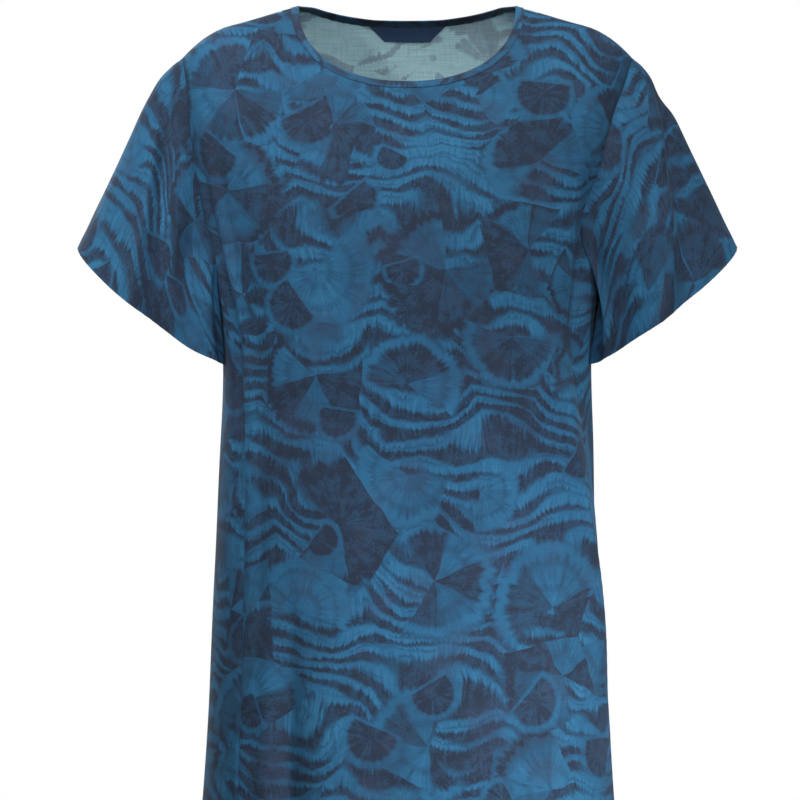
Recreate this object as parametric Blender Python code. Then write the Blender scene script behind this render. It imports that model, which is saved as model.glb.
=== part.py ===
"""Maxi dress with short flared set-in sleeves and a bound scoop neck, hollow and standing as it is worn.

Metres, +Z up, and the front faces -Y. The origin is midway between the two shoulder seams, at the height of
their middles, where a wearer's shoulders carry the dress. A drop is measured down from the neck points, which
are the highest points of the shoulder seams, and an angle runs round the body from the centre front, positive
towards +X. The cloth's outer face follows the formulas below, and its wall lies inside that face.
"""

import math
from collections import namedtuple

import bmesh
import bpy
from mathutils import Vector
from mathutils.bvhtree import BVHTree
from mathutils.kdtree import KDTree

# Driving sizes
NECK_POINT_HEIGHT = 0.014
DRESS_LENGTH = 1.400
UNDERARM_DROP = 0.262
SHOULDER_HALF_WIDTH = 0.2145
SHOULDER_TIP_DROP = 0.050
NECK_HALF_WIDTH = 0.104
FRONT_NECK_DROP = 0.074
BACK_NECK_DROP = 0.009
BUST_DEPTH = 0.128
BLADE_DEPTH = 0.115
CLOTH_WALL = 0.0012
SEAM_GAP = 0.0003
BINDING_WALL = 0.0010
BINDING_WIDTH = 0.0065
BINDING_STAND_OFF = 0.0005
LABEL_TOP_WIDTH = 0.074
LABEL_BOTTOM_WIDTH = 0.044
LABEL_HEIGHT = 0.015

# Shapes of the curves
FRONT_NECK_CORNER = 2.2
BACK_NECK_CORNER = 1.8
YOKE_CORNER = 2.5
FRONT_ROUNDNESS_AT_CENTRE = 1.07
BACK_ROUNDNESS_AT_CENTRE = 2.58
ROUNDNESS_AT_SIDE = 3.4
ARMHOLE_BOTTOM_POWER = 1.6

# Mesh steps
STRAP_COLUMNS = 6
NECK_COLUMNS = 28
CHEST_ROWS = 8
CHEST_ROW_POWER = 1.3
SKIRT_ROWS = 16
SLEEVE_ROWS = 10
BINDING_STEPS = 1

# How far each row of a shoulder strap lies from the shoulder seam, as a share of the strap. The powers turn
# that share into a share of the drop along each edge, so that the rows are evenly spaced on the cloth.
STRAP_ROW_SHARES = (0, 0.06, 0.15, 0.27, 0.41, 0.56, 0.71, 0.86, 1)
ARMHOLE_ROW_POWER = 1.7
FRONT_NECK_ROW_POWER = 1.15
BACK_NECK_ROW_POWER = 2.5
STRAP_END_LEVEL = 0.36
FRONT_STRAP_NECK_DROP = 0.046
BACK_STRAP_NECK_DROP = 0.0045
STRAP_FOOT_SHARE = 0.14
UNDERARM_DIP = 0.22
UNDERARM_DIP_COLUMNS = 12

# The shoulder seam seen from the front: half width, drop. Inside the neck it is only a guide.
SHOULDER_LINE = (
    (-0.0520, -0.0113),
    (0.0000, -0.0150),
    (0.0520, -0.0113),
    (0.1040, 0.0000),
    (0.1500, 0.0133),
    (0.1760, 0.0209),
    (0.1900, 0.0285),
    (0.2005, 0.0365),
    (0.2145, 0.0500),
)

# The side of the body inside the sleeve: drop, half width
YOKE_SIDE_LINE = (
    (0.050, 0.2145),
    (0.100, 0.2128),
    (0.150, 0.2080),
    (0.200, 0.1990),
    (0.240, 0.1895),
    (0.262, 0.1845),
)

Section = namedtuple("Section", "drop half_width front back corner")
SKIRT_SECTIONS = (
    Section(0.262, 0.1845, 0.1280, 0.1150, 2.50),
    Section(0.300, 0.1780, 0.1276, 0.1120, 2.46),
    Section(0.338, 0.1750, 0.1262, 0.1080, 2.43),
    Section(0.422, 0.1780, 0.1222, 0.1020, 2.40),
    Section(0.536, 0.1830, 0.1218, 0.1055, 2.34),
    Section(0.650, 0.1880, 0.1270, 0.1150, 2.30),
    Section(0.754, 0.1940, 0.1340, 0.1245, 2.27),
    Section(1.050, 0.2110, 0.1530, 0.1440, 2.18),
    Section(1.400, 0.2340, 0.1760, 0.1660, 2.10),
)

# Side seams, as angles in degrees. The dress sits a little turned, so its right seam shows from the front.
Seam = namedtuple("Seam", "drop right left")
SIDE_SEAMS = (
    Seam(0.262, -78, 96),
    Seam(0.300, -70, 101),
    Seam(0.345, -63, 107.5),
    Seam(0.400, -58.5, 112),
    Seam(0.470, -56, 115),
    Seam(0.660, -54.4, 119),
    Seam(0.754, -53.2, 121),
    Seam(1.400, -50, 125),
)

# Armhole seams from the shoulder tip (0) to the underarm (1), as angles in degrees
Armhole = namedtuple("Armhole", "share right_front right_back left_front left_back")
ARMHOLES = (
    Armhole(0.00, -90, -90, 90, 90),
    Armhole(0.05, -82, -99, 80, 99),
    Armhole(0.11, -78.5, -106, 72, 106),
    Armhole(0.20, -77, -111, 65, 111),
    Armhole(0.35, -76, -114, 60, 114.5),
    Armhole(0.55, -75.5, -112, 58, 115),
    Armhole(0.75, -73.5, -105, 65, 112),
    Armhole(0.90, -74.5, -91, 80, 104.5),
    Armhole(1.00, -78, -78, 96, 96),
)

# Folds run down the body. A lift is positive for a ridge and negative for a trough, and a spread is the
# distance over which it fades to each side. Each grows from nothing at start to its lift at full.
Fold = namedtuple("Fold", "start full end top_angle foot_angle lift foot_lift spread foot_spread")
FOLDS = (
    # Seen in the photo: the fold from the left underarm, the hollow beyond it and the creases on the right
    Fold(0.255, 0.360, 0.78, 44, 92, 0.0070, 0.004, 0.018, 0.020),
    Fold(0.265, 0.350, 0.72, 68, 114, -0.0050, -0.002, 0.020, 0.022),
    Fold(0.090, 0.200, 0.46, -48, -58, -0.0035, -0.003, 0.020, 0.020),
    Fold(0.500, 0.760, 1.60, -34, -31, -0.0060, -0.013, 0.017, 0.026),
    Fold(0.480, 0.740, 1.60, -20, -17, 0.0030, 0.012, 0.020, 0.034),
    # Below the photo's edge: the flare falls in soft uneven folds
    Fold(0.640, 1.180, 1.60, 6, 12, 0.0110, 0.014, 0.030, 0.038),
    Fold(0.560, 1.050, 1.60, 30, 35, -0.0060, -0.010, 0.020, 0.028),
    Fold(0.700, 1.250, 1.60, 50, 54, 0.0130, 0.016, 0.028, 0.036),
    Fold(0.620, 1.150, 1.60, 88, 91, 0.0110, 0.014, 0.026, 0.034),
    Fold(0.520, 1.100, 1.60, 124, 122, 0.0130, 0.017, 0.026, 0.036),
    Fold(0.340, 0.900, 1.60, 147, 146, -0.0050, -0.010, 0.018, 0.026),
    Fold(0.300, 0.980, 1.60, 163, 160, 0.0070, 0.014, 0.020, 0.032),
    Fold(0.340, 0.950, 1.60, 186, 182, -0.0050, -0.008, 0.020, 0.028),
    Fold(0.320, 1.020, 1.60, -156, -159, 0.0080, 0.015, 0.022, 0.034),
    Fold(0.420, 1.000, 1.60, -137, -139, -0.0050, -0.010, 0.018, 0.026),
    Fold(0.560, 1.120, 1.60, -119, -118, 0.0120, 0.016, 0.026, 0.034),
    Fold(0.660, 1.200, 1.60, -88, -86, 0.0100, 0.014, 0.026, 0.034),
    Fold(0.600, 1.150, 1.60, -56, -55, 0.0090, 0.013, 0.022, 0.030),
)

# The sleeve's hem seen from the front: its outer corner, its inner corner and how far it bows out between
SLEEVE_TIP = Vector((0.3125, 0.006, 0.228))
SLEEVE_INNER = Vector((0.1640, -0.010, 0.3455))
SLEEVE_FRONT_BOW = 0.0115
SLEEVE_BACK_BOW = 0.0060
SLEEVE_FRONT_DEPTH = 0.062
SLEEVE_BACK_DEPTH = 0.056
SLEEVE_PUFF = 0.006
SLEEVE_BODY_CLEARANCE = 0.0020
SLEEVE_SOFTNESS = 0.0040
ARMHOLE_CLEARANCE = 0.0009

# How far the sleeve's top edge stands out from a straight line: share of its length, distance
SLEEVE_CROWN = (
    (0.00, 0.0000),
    (0.05, 0.0040),
    (0.15, 0.0078),
    (0.28, 0.0082),
    (0.45, 0.0066),
    (0.66, 0.0043),
    (1.00, 0.0000),
)

# Creases along each sleeve. A turn runs round it from the crown (0) through the front to the underarm (180).
SleeveFold = namedtuple("SleeveFold", "side top_turn hem_turn top_lift hem_lift spread")
SLEEVE_FOLDS = (
    SleeveFold(-1, 60, 82, 0.0030, 0.0055, 20),
    SleeveFold(-1, 100, 122, -0.0020, -0.0045, 22),
    SleeveFold(-1, 262, 280, 0.0020, 0.0050, 22),
    SleeveFold(1, 58, 99, 0.0035, 0.0070, 20),
    SleeveFold(1, 100, 138, -0.0025, -0.0055, 22),
    SleeveFold(1, 258, 276, 0.0020, 0.0050, 22),
)

CLOTH_COLOUR = (0.030, 0.083, 0.150, 1)
BINDING_COLOUR = (0.012, 0.034, 0.070, 1)
LABEL_COLOUR = (0.010, 0.016, 0.034, 1)


def smooth_curve(points):
    """A smooth line through (place, value) points that doesn't overshoot them."""
    places = [point[0] for point in points]
    values = [point[1] for point in points]
    rises = [
        (values[i + 1] - values[i]) / (places[i + 1] - places[i])
        for i in range(len(points) - 1)
    ]
    slopes = [rises[0]]
    for before, after in zip(rises, rises[1:]):
        slopes.append(2 * before * after / (before + after) if before * after > 0 else 0)
    slopes.append(rises[-1])

    def value_at(place):
        place = min(max(place, places[0]), places[-1])
        i = max(k for k in range(len(rises)) if places[k] <= place)
        step = places[i + 1] - places[i]
        t = (place - places[i]) / step
        return (
            values[i] * (1 + 2 * t) * (1 - t) ** 2
            + slopes[i] * step * t * (1 - t) ** 2
            + values[i + 1] * t * t * (3 - 2 * t)
            + slopes[i + 1] * step * t * t * (t - 1)
        )

    return value_at


def column(rows, place, value):
    """A smooth curve of one named column of a table against another."""
    return smooth_curve([(getattr(row, place), getattr(row, value)) for row in rows])


shoulder_line = smooth_curve(SHOULDER_LINE)
yoke_side_line = smooth_curve(YOKE_SIDE_LINE)
skirt_half_width = column(SKIRT_SECTIONS, "drop", "half_width")
skirt_front = column(SKIRT_SECTIONS, "drop", "front")
skirt_back = column(SKIRT_SECTIONS, "drop", "back")
skirt_corner = column(SKIRT_SECTIONS, "drop", "corner")
right_seam = column(SIDE_SEAMS, "drop", "right")
left_seam = column(SIDE_SEAMS, "drop", "left")
armhole_angles = {
    name: column(ARMHOLES, "share", name)
    for name in ("right_front", "right_back", "left_front", "left_back")
}
sleeve_crown = smooth_curve(SLEEVE_CROWN)


def ease(value):
    """Rises smoothly from 0 to 1 as the value does."""
    value = min(max(value, 0.0), 1.0)
    return value * value * (3 - 2 * value)


def mix(a, b, share):
    return a + (b - a) * share


def ring_shares(angle, corner):
    """How far across and how far forward a rounded ring is at an angle, as shares of its half width and depth."""
    across = math.sin(math.radians(angle))
    forward = math.cos(math.radians(angle))
    power = 2 / corner
    return math.copysign(abs(across) ** power, across), math.copysign(abs(forward) ** power, forward)


def fold_lift(angle, drop, half_width):
    """How far the folds push the cloth out at an angle and drop."""
    total = 0.0
    for fold in FOLDS:
        if not fold.start < drop < fold.end:
            continue
        run = (drop - fold.start) / (min(fold.end, DRESS_LENGTH) - fold.start)
        lift = mix(fold.lift, fold.foot_lift, run) * ease((drop - fold.start) / (fold.full - fold.start))
        if fold.end < DRESS_LENGTH:
            lift *= ease((fold.end - drop) / (0.35 * (fold.end - fold.start)))
        centre = mix(fold.top_angle, fold.foot_angle, run)
        away = math.radians((angle - centre + 180) % 360 - 180) * half_width * 0.85
        total += lift * math.exp(-((away / mix(fold.spread, fold.foot_spread, run)) ** 2))
    return total


def body_point(angle, level):
    """The body's outer face. Level 0 is the shoulder ridge, 1 the underarm and 2 the hem."""
    if level < 1:
        across, forward = ring_shares(angle, YOKE_CORNER)
        ridge_drop = shoulder_line(SHOULDER_HALF_WIDTH * abs(across))
        drop = mix(ridge_drop, UNDERARM_DROP, level)
        half_width = yoke_side_line(mix(SHOULDER_TIP_DROP, UNDERARM_DROP, level))
        centre = FRONT_ROUNDNESS_AT_CENTRE if forward > 0 else BACK_ROUNDNESS_AT_CENTRE
        roundness = mix(centre, ROUNDNESS_AT_SIDE, across**4)
        depth = BUST_DEPTH if forward > 0 else BLADE_DEPTH
        depth *= (1 - (1 - level) ** 2) ** (1 / roundness)
    else:
        drop = mix(UNDERARM_DROP, DRESS_LENGTH, level - 1)
        across, forward = ring_shares(angle, skirt_corner(drop))
        half_width = skirt_half_width(drop)
        depth = skirt_front(drop) if forward > 0 else skirt_back(drop)
    x = half_width * across
    y = -depth * forward
    lift = fold_lift(angle, drop, half_width)
    outward = Vector((x / half_width**2, y / max(depth, 0.02) ** 2)).normalized()
    return Vector((x + outward.x * lift, y + outward.y * lift, NECK_POINT_HEIGHT - drop))


def yoke_place(x, drop, front):
    """The angle and level of the yoke's point that is seen from the front at x and drop."""
    level = 0.0
    across = 0.0
    for _ in range(40):
        across = abs(x) / yoke_side_line(mix(SHOULDER_TIP_DROP, UNDERARM_DROP, level))
        ridge_drop = shoulder_line(SHOULDER_HALF_WIDTH * across)
        level = max(0.0, (drop - ridge_drop) / (UNDERARM_DROP - ridge_drop))
    angle = math.degrees(math.asin(min(1.0, across ** (YOKE_CORNER / 2))))
    return Vector((angle if front else 180 - angle, level))


def neckline_place(drop, front):
    """The angle and level of the neckline on the +X side at a drop below the neck point."""
    deepest = FRONT_NECK_DROP if front else BACK_NECK_DROP
    corner = FRONT_NECK_CORNER if front else BACK_NECK_CORNER
    share = min(1.0, drop / deepest)
    return yoke_place(NECK_HALF_WIDTH * (1 - share**corner) ** (1 / corner), drop, front)


def armhole_place(side, front, share):
    """The angle and level of an armhole seam, from the shoulder tip at 0 to the underarm at 1."""
    name = ("left_" if side > 0 else "right_") + ("front" if front else "back")
    return Vector((armhole_angles[name](share), 1 - (1 - share) ** ARMHOLE_BOTTOM_POWER))


def armhole_share(level):
    return 1 - (1 - level) ** (1 / ARMHOLE_BOTTOM_POWER)


def whole_turn(place):
    """Angles of the back panel run on past 180, so the right side's negative angles gain a whole turn."""
    return Vector((place.x % 360, place.y))


def chest_share(step):
    """How far down the chest each row lies, closer together towards the underarm."""
    return 1 - (1 - step / CHEST_ROWS) ** CHEST_ROW_POWER


def armhole_row_shares():
    """Where the rows of the panels meet the armhole seam, from the shoulder tip (0) to the underarm (1)."""
    strap = [armhole_share(share**ARMHOLE_ROW_POWER * STRAP_END_LEVEL) for share in STRAP_ROW_SHARES]
    return strap + [mix(strap[-1], 1, chest_share(step)) for step in range(1, CHEST_ROWS + 1)]


def panel_places(front):
    """The angle and level of each corner of a panel's grid, by column and row, without the neck's notch."""
    columns = 2 * STRAP_COLUMNS + NECK_COLUMNS
    strap_rows = len(STRAP_ROW_SHARES) - 1
    strap_neck_drop = FRONT_STRAP_NECK_DROP if front else BACK_STRAP_NECK_DROP
    neck_power = FRONT_NECK_ROW_POWER if front else BACK_NECK_ROW_POWER
    deepest = FRONT_NECK_DROP if front else BACK_NECK_DROP
    corner = FRONT_NECK_CORNER if front else BACK_NECK_CORNER
    # Column 0 of the front panel is at the wearer's right (-X), and of the back panel at the left (+X).
    first_side = -1 if front else 1
    turn = (lambda place: place) if front else whole_turn
    armhole_shares = armhole_row_shares()
    places = {}

    def mirrored(place, side):
        return turn(Vector((place.x * side, place.y)))

    for row, share in enumerate(STRAP_ROW_SHARES):
        for side in (first_side, -first_side):
            outer = turn(armhole_place(side, front, armhole_shares[row]))
            inner = mirrored(neckline_place(share**neck_power * strap_neck_drop, front), side)
            for step in range(STRAP_COLUMNS + 1):
                j = step if side == first_side else columns - step
                places[j, row] = outer.lerp(inner, step / STRAP_COLUMNS)
    strap_end_angle = math.acos((strap_neck_drop / deepest) ** (corner / 2))
    for step in range(1, NECK_COLUMNS):
        turned = mix(-strap_end_angle, strap_end_angle, step / NECK_COLUMNS) * -first_side
        drop = deepest * math.cos(turned) ** (2 / corner)
        side = 1 if turned > 0 else -1
        places[STRAP_COLUMNS + step, strap_rows] = mirrored(neckline_place(drop, front), side)

    def across_share(j):
        """Where a column stands along the underarm line: the straps take less of it than their columns' share."""
        if j <= STRAP_COLUMNS:
            return STRAP_FOOT_SHARE * j / STRAP_COLUMNS
        if j >= columns - STRAP_COLUMNS:
            return 1 - STRAP_FOOT_SHARE * (columns - j) / STRAP_COLUMNS
        return mix(STRAP_FOOT_SHARE, 1 - STRAP_FOOT_SHARE, (j - STRAP_COLUMNS) / NECK_COLUMNS)

    def seam_angles(drop):
        right, left = right_seam(drop), left_seam(drop)
        return (right, left) if front else (left, right + 360)

    def row_dip(j):
        """How far the underarm's row of the grid dips between the side seams, in levels of the yoke."""
        from_end = min(1.0, min(j, columns - j) / UNDERARM_DIP_COLUMNS)
        return UNDERARM_DIP * (1 - (1 - from_end) ** 2.5)

    def below_underarm(place):
        """Turns levels of the yoke that run on past the underarm into levels of the skirt."""
        yoke_height = UNDERARM_DROP - SHOULDER_TIP_DROP
        if place.y > 1:
            place.y = 1 + (place.y - 1) * yoke_height / (DRESS_LENGTH - UNDERARM_DROP)
        return place

    edge_at_top = {j: places[j, strap_rows] for j in (0, columns)}
    foot_first, foot_last = seam_angles(UNDERARM_DROP)
    for step in range(1, CHEST_ROWS + 1):
        share = chest_share(step)
        row = strap_rows + step
        edges = {}
        for j, side in ((0, first_side), (columns, -first_side)):
            edges[j] = turn(armhole_place(side, front, armhole_shares[row]))
        for j in range(columns + 1):
            foot = Vector((mix(foot_first, foot_last, across_share(j)), 1 + row_dip(j)))
            place = places[j, strap_rows].lerp(foot, share)
            for edge, near in ((0, 1 - j / columns), (columns, j / columns)):
                edge_foot = Vector((foot_first if edge == 0 else foot_last, 1.0))
                straight = edge_at_top[edge].lerp(edge_foot, share)
                bend = edges[edge] - straight
                place = place + Vector((bend.x * near**3, bend.y * near**8))
            places[j, row] = below_underarm(place)
    for step in range(1, SKIRT_ROWS + 1):
        row = strap_rows + CHEST_ROWS + step
        share = step / SKIRT_ROWS
        drop = mix(UNDERARM_DROP, DRESS_LENGTH, share)
        first, last = seam_angles(drop)
        for j in range(columns + 1):
            spread = mix(across_share(j), j / columns, ease(share * 2))
            start = below_underarm(Vector((0, 1 + row_dip(j)))).y
            places[j, row] = Vector((mix(first, last, spread), mix(start, 2, share)))
    return places, columns, strap_rows + CHEST_ROWS + SKIRT_ROWS


def grid_mesh(columns, rows, point_at):
    """A grid whose corner at column and row lies at point_at(column, row). Corners without a point go."""
    mesh = bmesh.new()
    bmesh.ops.create_grid(mesh, x_segments=columns, y_segments=rows, size=1)
    unused = []
    for vertex in mesh.verts:
        j = round((vertex.co.x + 1) / 2 * columns)
        i = round((1 - vertex.co.y) / 2 * rows)
        point = point_at(j, i)
        if point is None:
            unused.append(vertex)
        else:
            vertex.co = point
    bmesh.ops.delete(mesh, geom=unused, context="VERTS")
    return mesh


def inward_steps(mesh, wall):
    """Each vertex's place, and the step from it to the wall's inner face, longer where the cloth bends."""
    mesh.normal_update()
    steps = []
    for vertex in mesh.verts:
        evenness = sum(vertex.normal.dot(face.normal) for face in vertex.link_faces) / len(vertex.link_faces)
        steps.append((vertex.co.copy(), vertex.normal * (-wall / max(evenness, 0.6))))
    return steps


def edge_moves(mesh, distance):
    """The moves that draw a cloth's edges in, so that it stays clear of the next piece at a seam."""
    inward_at = {}
    for edge in mesh.edges:
        if edge.is_boundary:
            start, end = (vertex.co for vertex in edge.verts)
            face = edge.link_faces[0]
            inward = face.normal.cross(end - start).normalized()
            if inward.dot(face.calc_center_median() - start) < 0:
                inward = -inward
            for vertex in edge.verts:
                inward_at.setdefault(vertex.index, []).append(inward)
    moves = {}
    for index, (one, other) in inward_at.items():
        moves[index] = (one + other) * (distance / max(1 + one.dot(other), 0.5))
    return moves


def add_wall(mesh, steps, distance):
    """Makes a surface a closed cloth: its wall follows the steps and its edges are drawn in by a distance."""
    mesh.verts.index_update()
    mesh.normal_update()
    moves = edge_moves(mesh, distance)
    places = KDTree(len(steps))
    for k, (place, _) in enumerate(steps):
        places.insert(place, k)
    places.balance()
    outer = KDTree(len(mesh.verts))
    for vertex in mesh.verts:
        outer.insert(vertex.co, vertex.index)
    outer.balance()
    outer_vertices = mesh.verts[:]
    made = bmesh.ops.extrude_face_region(mesh, geom=mesh.faces[:], use_keep_orig=True)
    for inner in made["geom"]:
        if isinstance(inner, bmesh.types.BMVert):
            place = inner.co.copy()
            inner.co = place + steps[places.find(place)[1]][1]
            inner.co += moves.get(outer.find(place)[1], Vector())
    for index, move in moves.items():
        outer_vertices[index].co += move
    bmesh.ops.recalc_face_normals(mesh, faces=mesh.faces[:])


def material(name, colour, roughness):
    made = bpy.data.materials.new(name)
    made.use_nodes = True
    shader = made.node_tree.nodes["Principled BSDF"]
    shader.inputs["Base Color"].default_value = colour
    shader.inputs["Roughness"].default_value = roughness
    shader.inputs["Metallic"].default_value = 0.0
    return made


def add_object(name, mesh, finish, collection):
    data = bpy.data.meshes.new(name)
    mesh.to_mesh(data)
    mesh.free()
    data.shade_smooth()
    data.materials.append(finish)
    piece = bpy.data.objects.new(name, data)
    collection.objects.link(piece)


def panel_mesh(front):
    """A body panel's outer face, from the shoulder seams to the hem."""
    places, columns, rows = panel_places(front)

    def point_at(j, i):
        place = places.get((j, i))
        return None if place is None else body_point(place.x, place.y)

    return grid_mesh(columns, rows, point_at)


def armhole_point(side, turn):
    """A point of the armhole seam. The turn runs from the crown through the front to the underarm, and back."""
    front = turn <= 180
    share = turn / 180 if front else (360 - turn) / 180
    place = armhole_place(side, front, share)
    return body_point(place.x, place.y)


def sleeve_hem_point(side, turn):
    """A point of the sleeve's hem, before it is kept clear of the body."""
    radians = math.radians(turn)
    front = turn <= 180
    line = SLEEVE_TIP.lerp(SLEEVE_INNER, (1 - math.cos(radians)) / 2)
    along = SLEEVE_INNER - SLEEVE_TIP
    outward = Vector((along.z, 0, -along.x)).normalized()
    bulge = abs(math.sin(radians))
    line += outward * bulge * (SLEEVE_FRONT_BOW if front else SLEEVE_BACK_BOW)
    depth = -SLEEVE_FRONT_DEPTH if front else SLEEVE_BACK_DEPTH
    return Vector((line.x * side, line.y + depth * bulge, NECK_POINT_HEIGHT - line.z))


def body_at_drop(angle, drop):
    """The body's outer face at an angle and drop."""
    if drop >= UNDERARM_DROP:
        return body_point(angle, 1 + (drop - UNDERARM_DROP) / (DRESS_LENGTH - UNDERARM_DROP))
    ridge_drop = shoulder_line(SHOULDER_HALF_WIDTH * abs(ring_shares(angle, YOKE_CORNER)[0]))
    return body_point(angle, max(0.0, (drop - ridge_drop) / (UNDERARM_DROP - ridge_drop)))


def clear_of_body(point, clearance, softness):
    """Moves a point out to its clearance from the body, if it is nearer, easing the bend this makes."""
    drop = NECK_POINT_HEIGHT - point.z
    direction = math.degrees(math.atan2(point.x, -point.y))
    low, high = (0.0, 180.0) if direction > 0 else (-180.0, 0.0)
    for _ in range(16):
        middle = (low + high) / 2
        spot = body_at_drop(middle, drop)
        if math.degrees(math.atan2(spot.x, -spot.y)) < direction:
            low = middle
        else:
            high = middle
    spot = body_at_drop((low + high) / 2, drop)
    body_reach = math.hypot(spot.x, spot.y) + clearance
    reach = math.hypot(point.x, point.y)
    beyond = (reach - body_reach) / softness
    if beyond > 12:
        return point
    share = (body_reach + softness * math.log1p(math.exp(beyond))) / reach
    return Vector((point.x * share, point.y * share, point.z))


def sleeve_base(side, turn, reach):
    """The sleeve without its creases. The reach is 0 at the armhole seam and 1 at the hem."""
    start = armhole_point(side, turn) + Vector((side * ARMHOLE_CLEARANCE, 0, 0))
    end = sleeve_hem_point(side, turn)
    point = start.lerp(end, reach)
    top = math.cos(math.radians(turn) / 2) ** 4 if turn <= 180 else math.cos(math.radians(360 - turn) / 2) ** 4
    crown = Vector((0.869 * side, 0, 0.494)) * sleeve_crown(reach) * top
    puff_share = math.sin(math.pi * reach) * math.sin(math.radians(turn)) ** 2
    puff = Vector((0.4 * side, -1 if turn <= 180 else 1, -0.2)).normalized() * SLEEVE_PUFF * puff_share
    return point + crown + puff


def sleeve_point(side, turn, reach):
    """The sleeve's outer face with its creases."""
    step = 0.5
    point = sleeve_base(side, turn, reach)
    round_it = sleeve_base(side, (turn + step) % 360, reach) - sleeve_base(side, (turn - step) % 360, reach)
    near = min(max(reach, 0.02), 0.98)
    along = sleeve_base(side, turn, near + 0.02) - sleeve_base(side, turn, near - 0.02)
    normal = along.cross(round_it).normalized() * -side
    total = 0.0
    for fold in SLEEVE_FOLDS:
        if fold.side != side:
            continue
        centre = mix(fold.top_turn, fold.hem_turn, reach)
        lift = mix(fold.top_lift, fold.hem_lift, reach) * ease(reach * 5)
        away = (turn - centre + 180) % 360 - 180
        total += lift * math.exp(-((away / fold.spread) ** 2))
    grown = ease(reach * 3)
    clearance = mix(ARMHOLE_CLEARANCE, SLEEVE_BODY_CLEARANCE, grown)
    return clear_of_body(point + normal * total, clearance, mix(0.0003, SLEEVE_SOFTNESS, grown))


def sleeve_mesh(side):
    """A sleeve's outer face, a tube closed along the underarm.

    Its columns start where the panels' rows end, but the rows next to the shoulder tip are too close for it.
    """
    shares = [0.0] + armhole_row_shares()[2:]
    half = len(shares) - 1

    def point_at(j, i):
        reach = i / SLEEVE_ROWS
        from_crown = abs(j - half)
        turn = mix(180 * shares[from_crown], 180 * from_crown / half, ease(reach * 1.4))
        towards_front = (j < half) == (side > 0)
        return sleeve_point(side, turn if towards_front else (360 - turn) % 360, reach)

    mesh = grid_mesh(2 * half, SLEEVE_ROWS, point_at)
    bmesh.ops.remove_doubles(mesh, verts=mesh.verts[:], dist=0.00001)
    return mesh


def neck_loop():
    """The neckline's points all round, down the front from the wearer's right and back along the back."""
    strap_rows = len(STRAP_ROW_SHARES) - 1
    loop = []
    for front in (True, False):
        places, columns, _ = panel_places(front)
        down = [(STRAP_COLUMNS, i) for i in range(1, strap_rows)]
        bottom = [(j, strap_rows) for j in range(STRAP_COLUMNS, columns - STRAP_COLUMNS + 1)]
        up = [(columns - STRAP_COLUMNS, i) for i in range(strap_rows - 1, 0, -1)]
        loop += [body_point(*places[key]) for key in down + bottom + up]
    return loop


def chord_lift(section, following, body_tree):
    """How far the cloth stands above the straight lines between two sections of the binding's outer leaf."""
    spots, ups, _ = section
    next_spots = following[0]
    lift = 0.0
    for start, end in ((spots[0], spots[-1]), (spots[0], next_spots[0]), (spots[-1], next_spots[-1])):
        for share in (0.25, 0.5, 0.75):
            sample = start.lerp(end, share)
            lift = max(lift, (body_tree.find_nearest(sample)[0] - sample).dot(ups[0]))
    return lift


def binding_mesh(body_tree, inner_tree):
    """A folded strip over the neck edge, with one leaf outside the cloth and one inside it."""
    corners = neck_loop()
    loop = []
    for k, corner in enumerate(corners):
        loop += [corner, corner.lerp(corners[(k + 1) % len(corners)], 0.5)]
    count = len(loop)
    near = BINDING_STAND_OFF
    far = near + BINDING_WALL
    leaves = []
    for k, edge in enumerate(loop):
        _, normal, _, _ = body_tree.find_nearest(edge)
        tangent = (loop[(k + 1) % count] - loop[k - 1]).normalized()
        inward = tangent.cross(normal).normalized()
        if (inward.x * edge.x + inward.y * edge.y) < 0:
            inward = -inward
        leaf = [edge]
        for step in range(1, BINDING_STEPS + 1):
            guess = edge + inward * (BINDING_WIDTH * step / BINDING_STEPS)
            leaf.append(body_tree.find_nearest(guess)[0])
        leaves.append((leaf, [body_tree.find_nearest(spot)[1] for spot in leaf], inward))
    lifts = [chord_lift(leaves[k], leaves[(k + 1) % count], body_tree) for k in range(count)]
    sections = []
    for k, (spots, _, inward) in enumerate(leaves):
        lift = max(lifts[k], lifts[k - 1])
        leaf = []
        inner_leaf = []
        for step, spot in enumerate(spots):
            ups = [leaves[(k + near_by) % count][1][step] for near_by in (-1, 0, 0, 1)]
            up = sum(ups, Vector()).normalized()
            leaf.append((spot, up))
            inner_leaf.append((inner_tree.find_nearest(spot - up * CLOTH_WALL)[0], up))
        edge, normal = leaf[0]
        middle = edge - normal * (CLOTH_WALL / 2)
        outline = [spot + up * (far + lift) for spot, up in reversed(leaf)]
        outline.append(middle - inward * far + normal * (CLOTH_WALL / 2))
        outline.append(middle - inward * far - normal * (CLOTH_WALL / 2))
        outline += [spot - up * far for spot, up in inner_leaf]
        outline += [spot - up * near for spot, up in reversed(inner_leaf)]
        outline.append(middle - inward * near - normal * (CLOTH_WALL / 2))
        outline.append(middle - inward * near + normal * (CLOTH_WALL / 2))
        outline += [spot + up * (near + lift) for spot, up in leaf]
        sections.append(outline)
    around = len(sections[0])
    mesh = grid_mesh(count, around, lambda j, i: sections[j % count][i % around])
    bmesh.ops.remove_doubles(mesh, verts=mesh.verts[:], dist=0.000001)
    bmesh.ops.recalc_face_normals(mesh, faces=mesh.faces[:])
    return mesh


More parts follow.
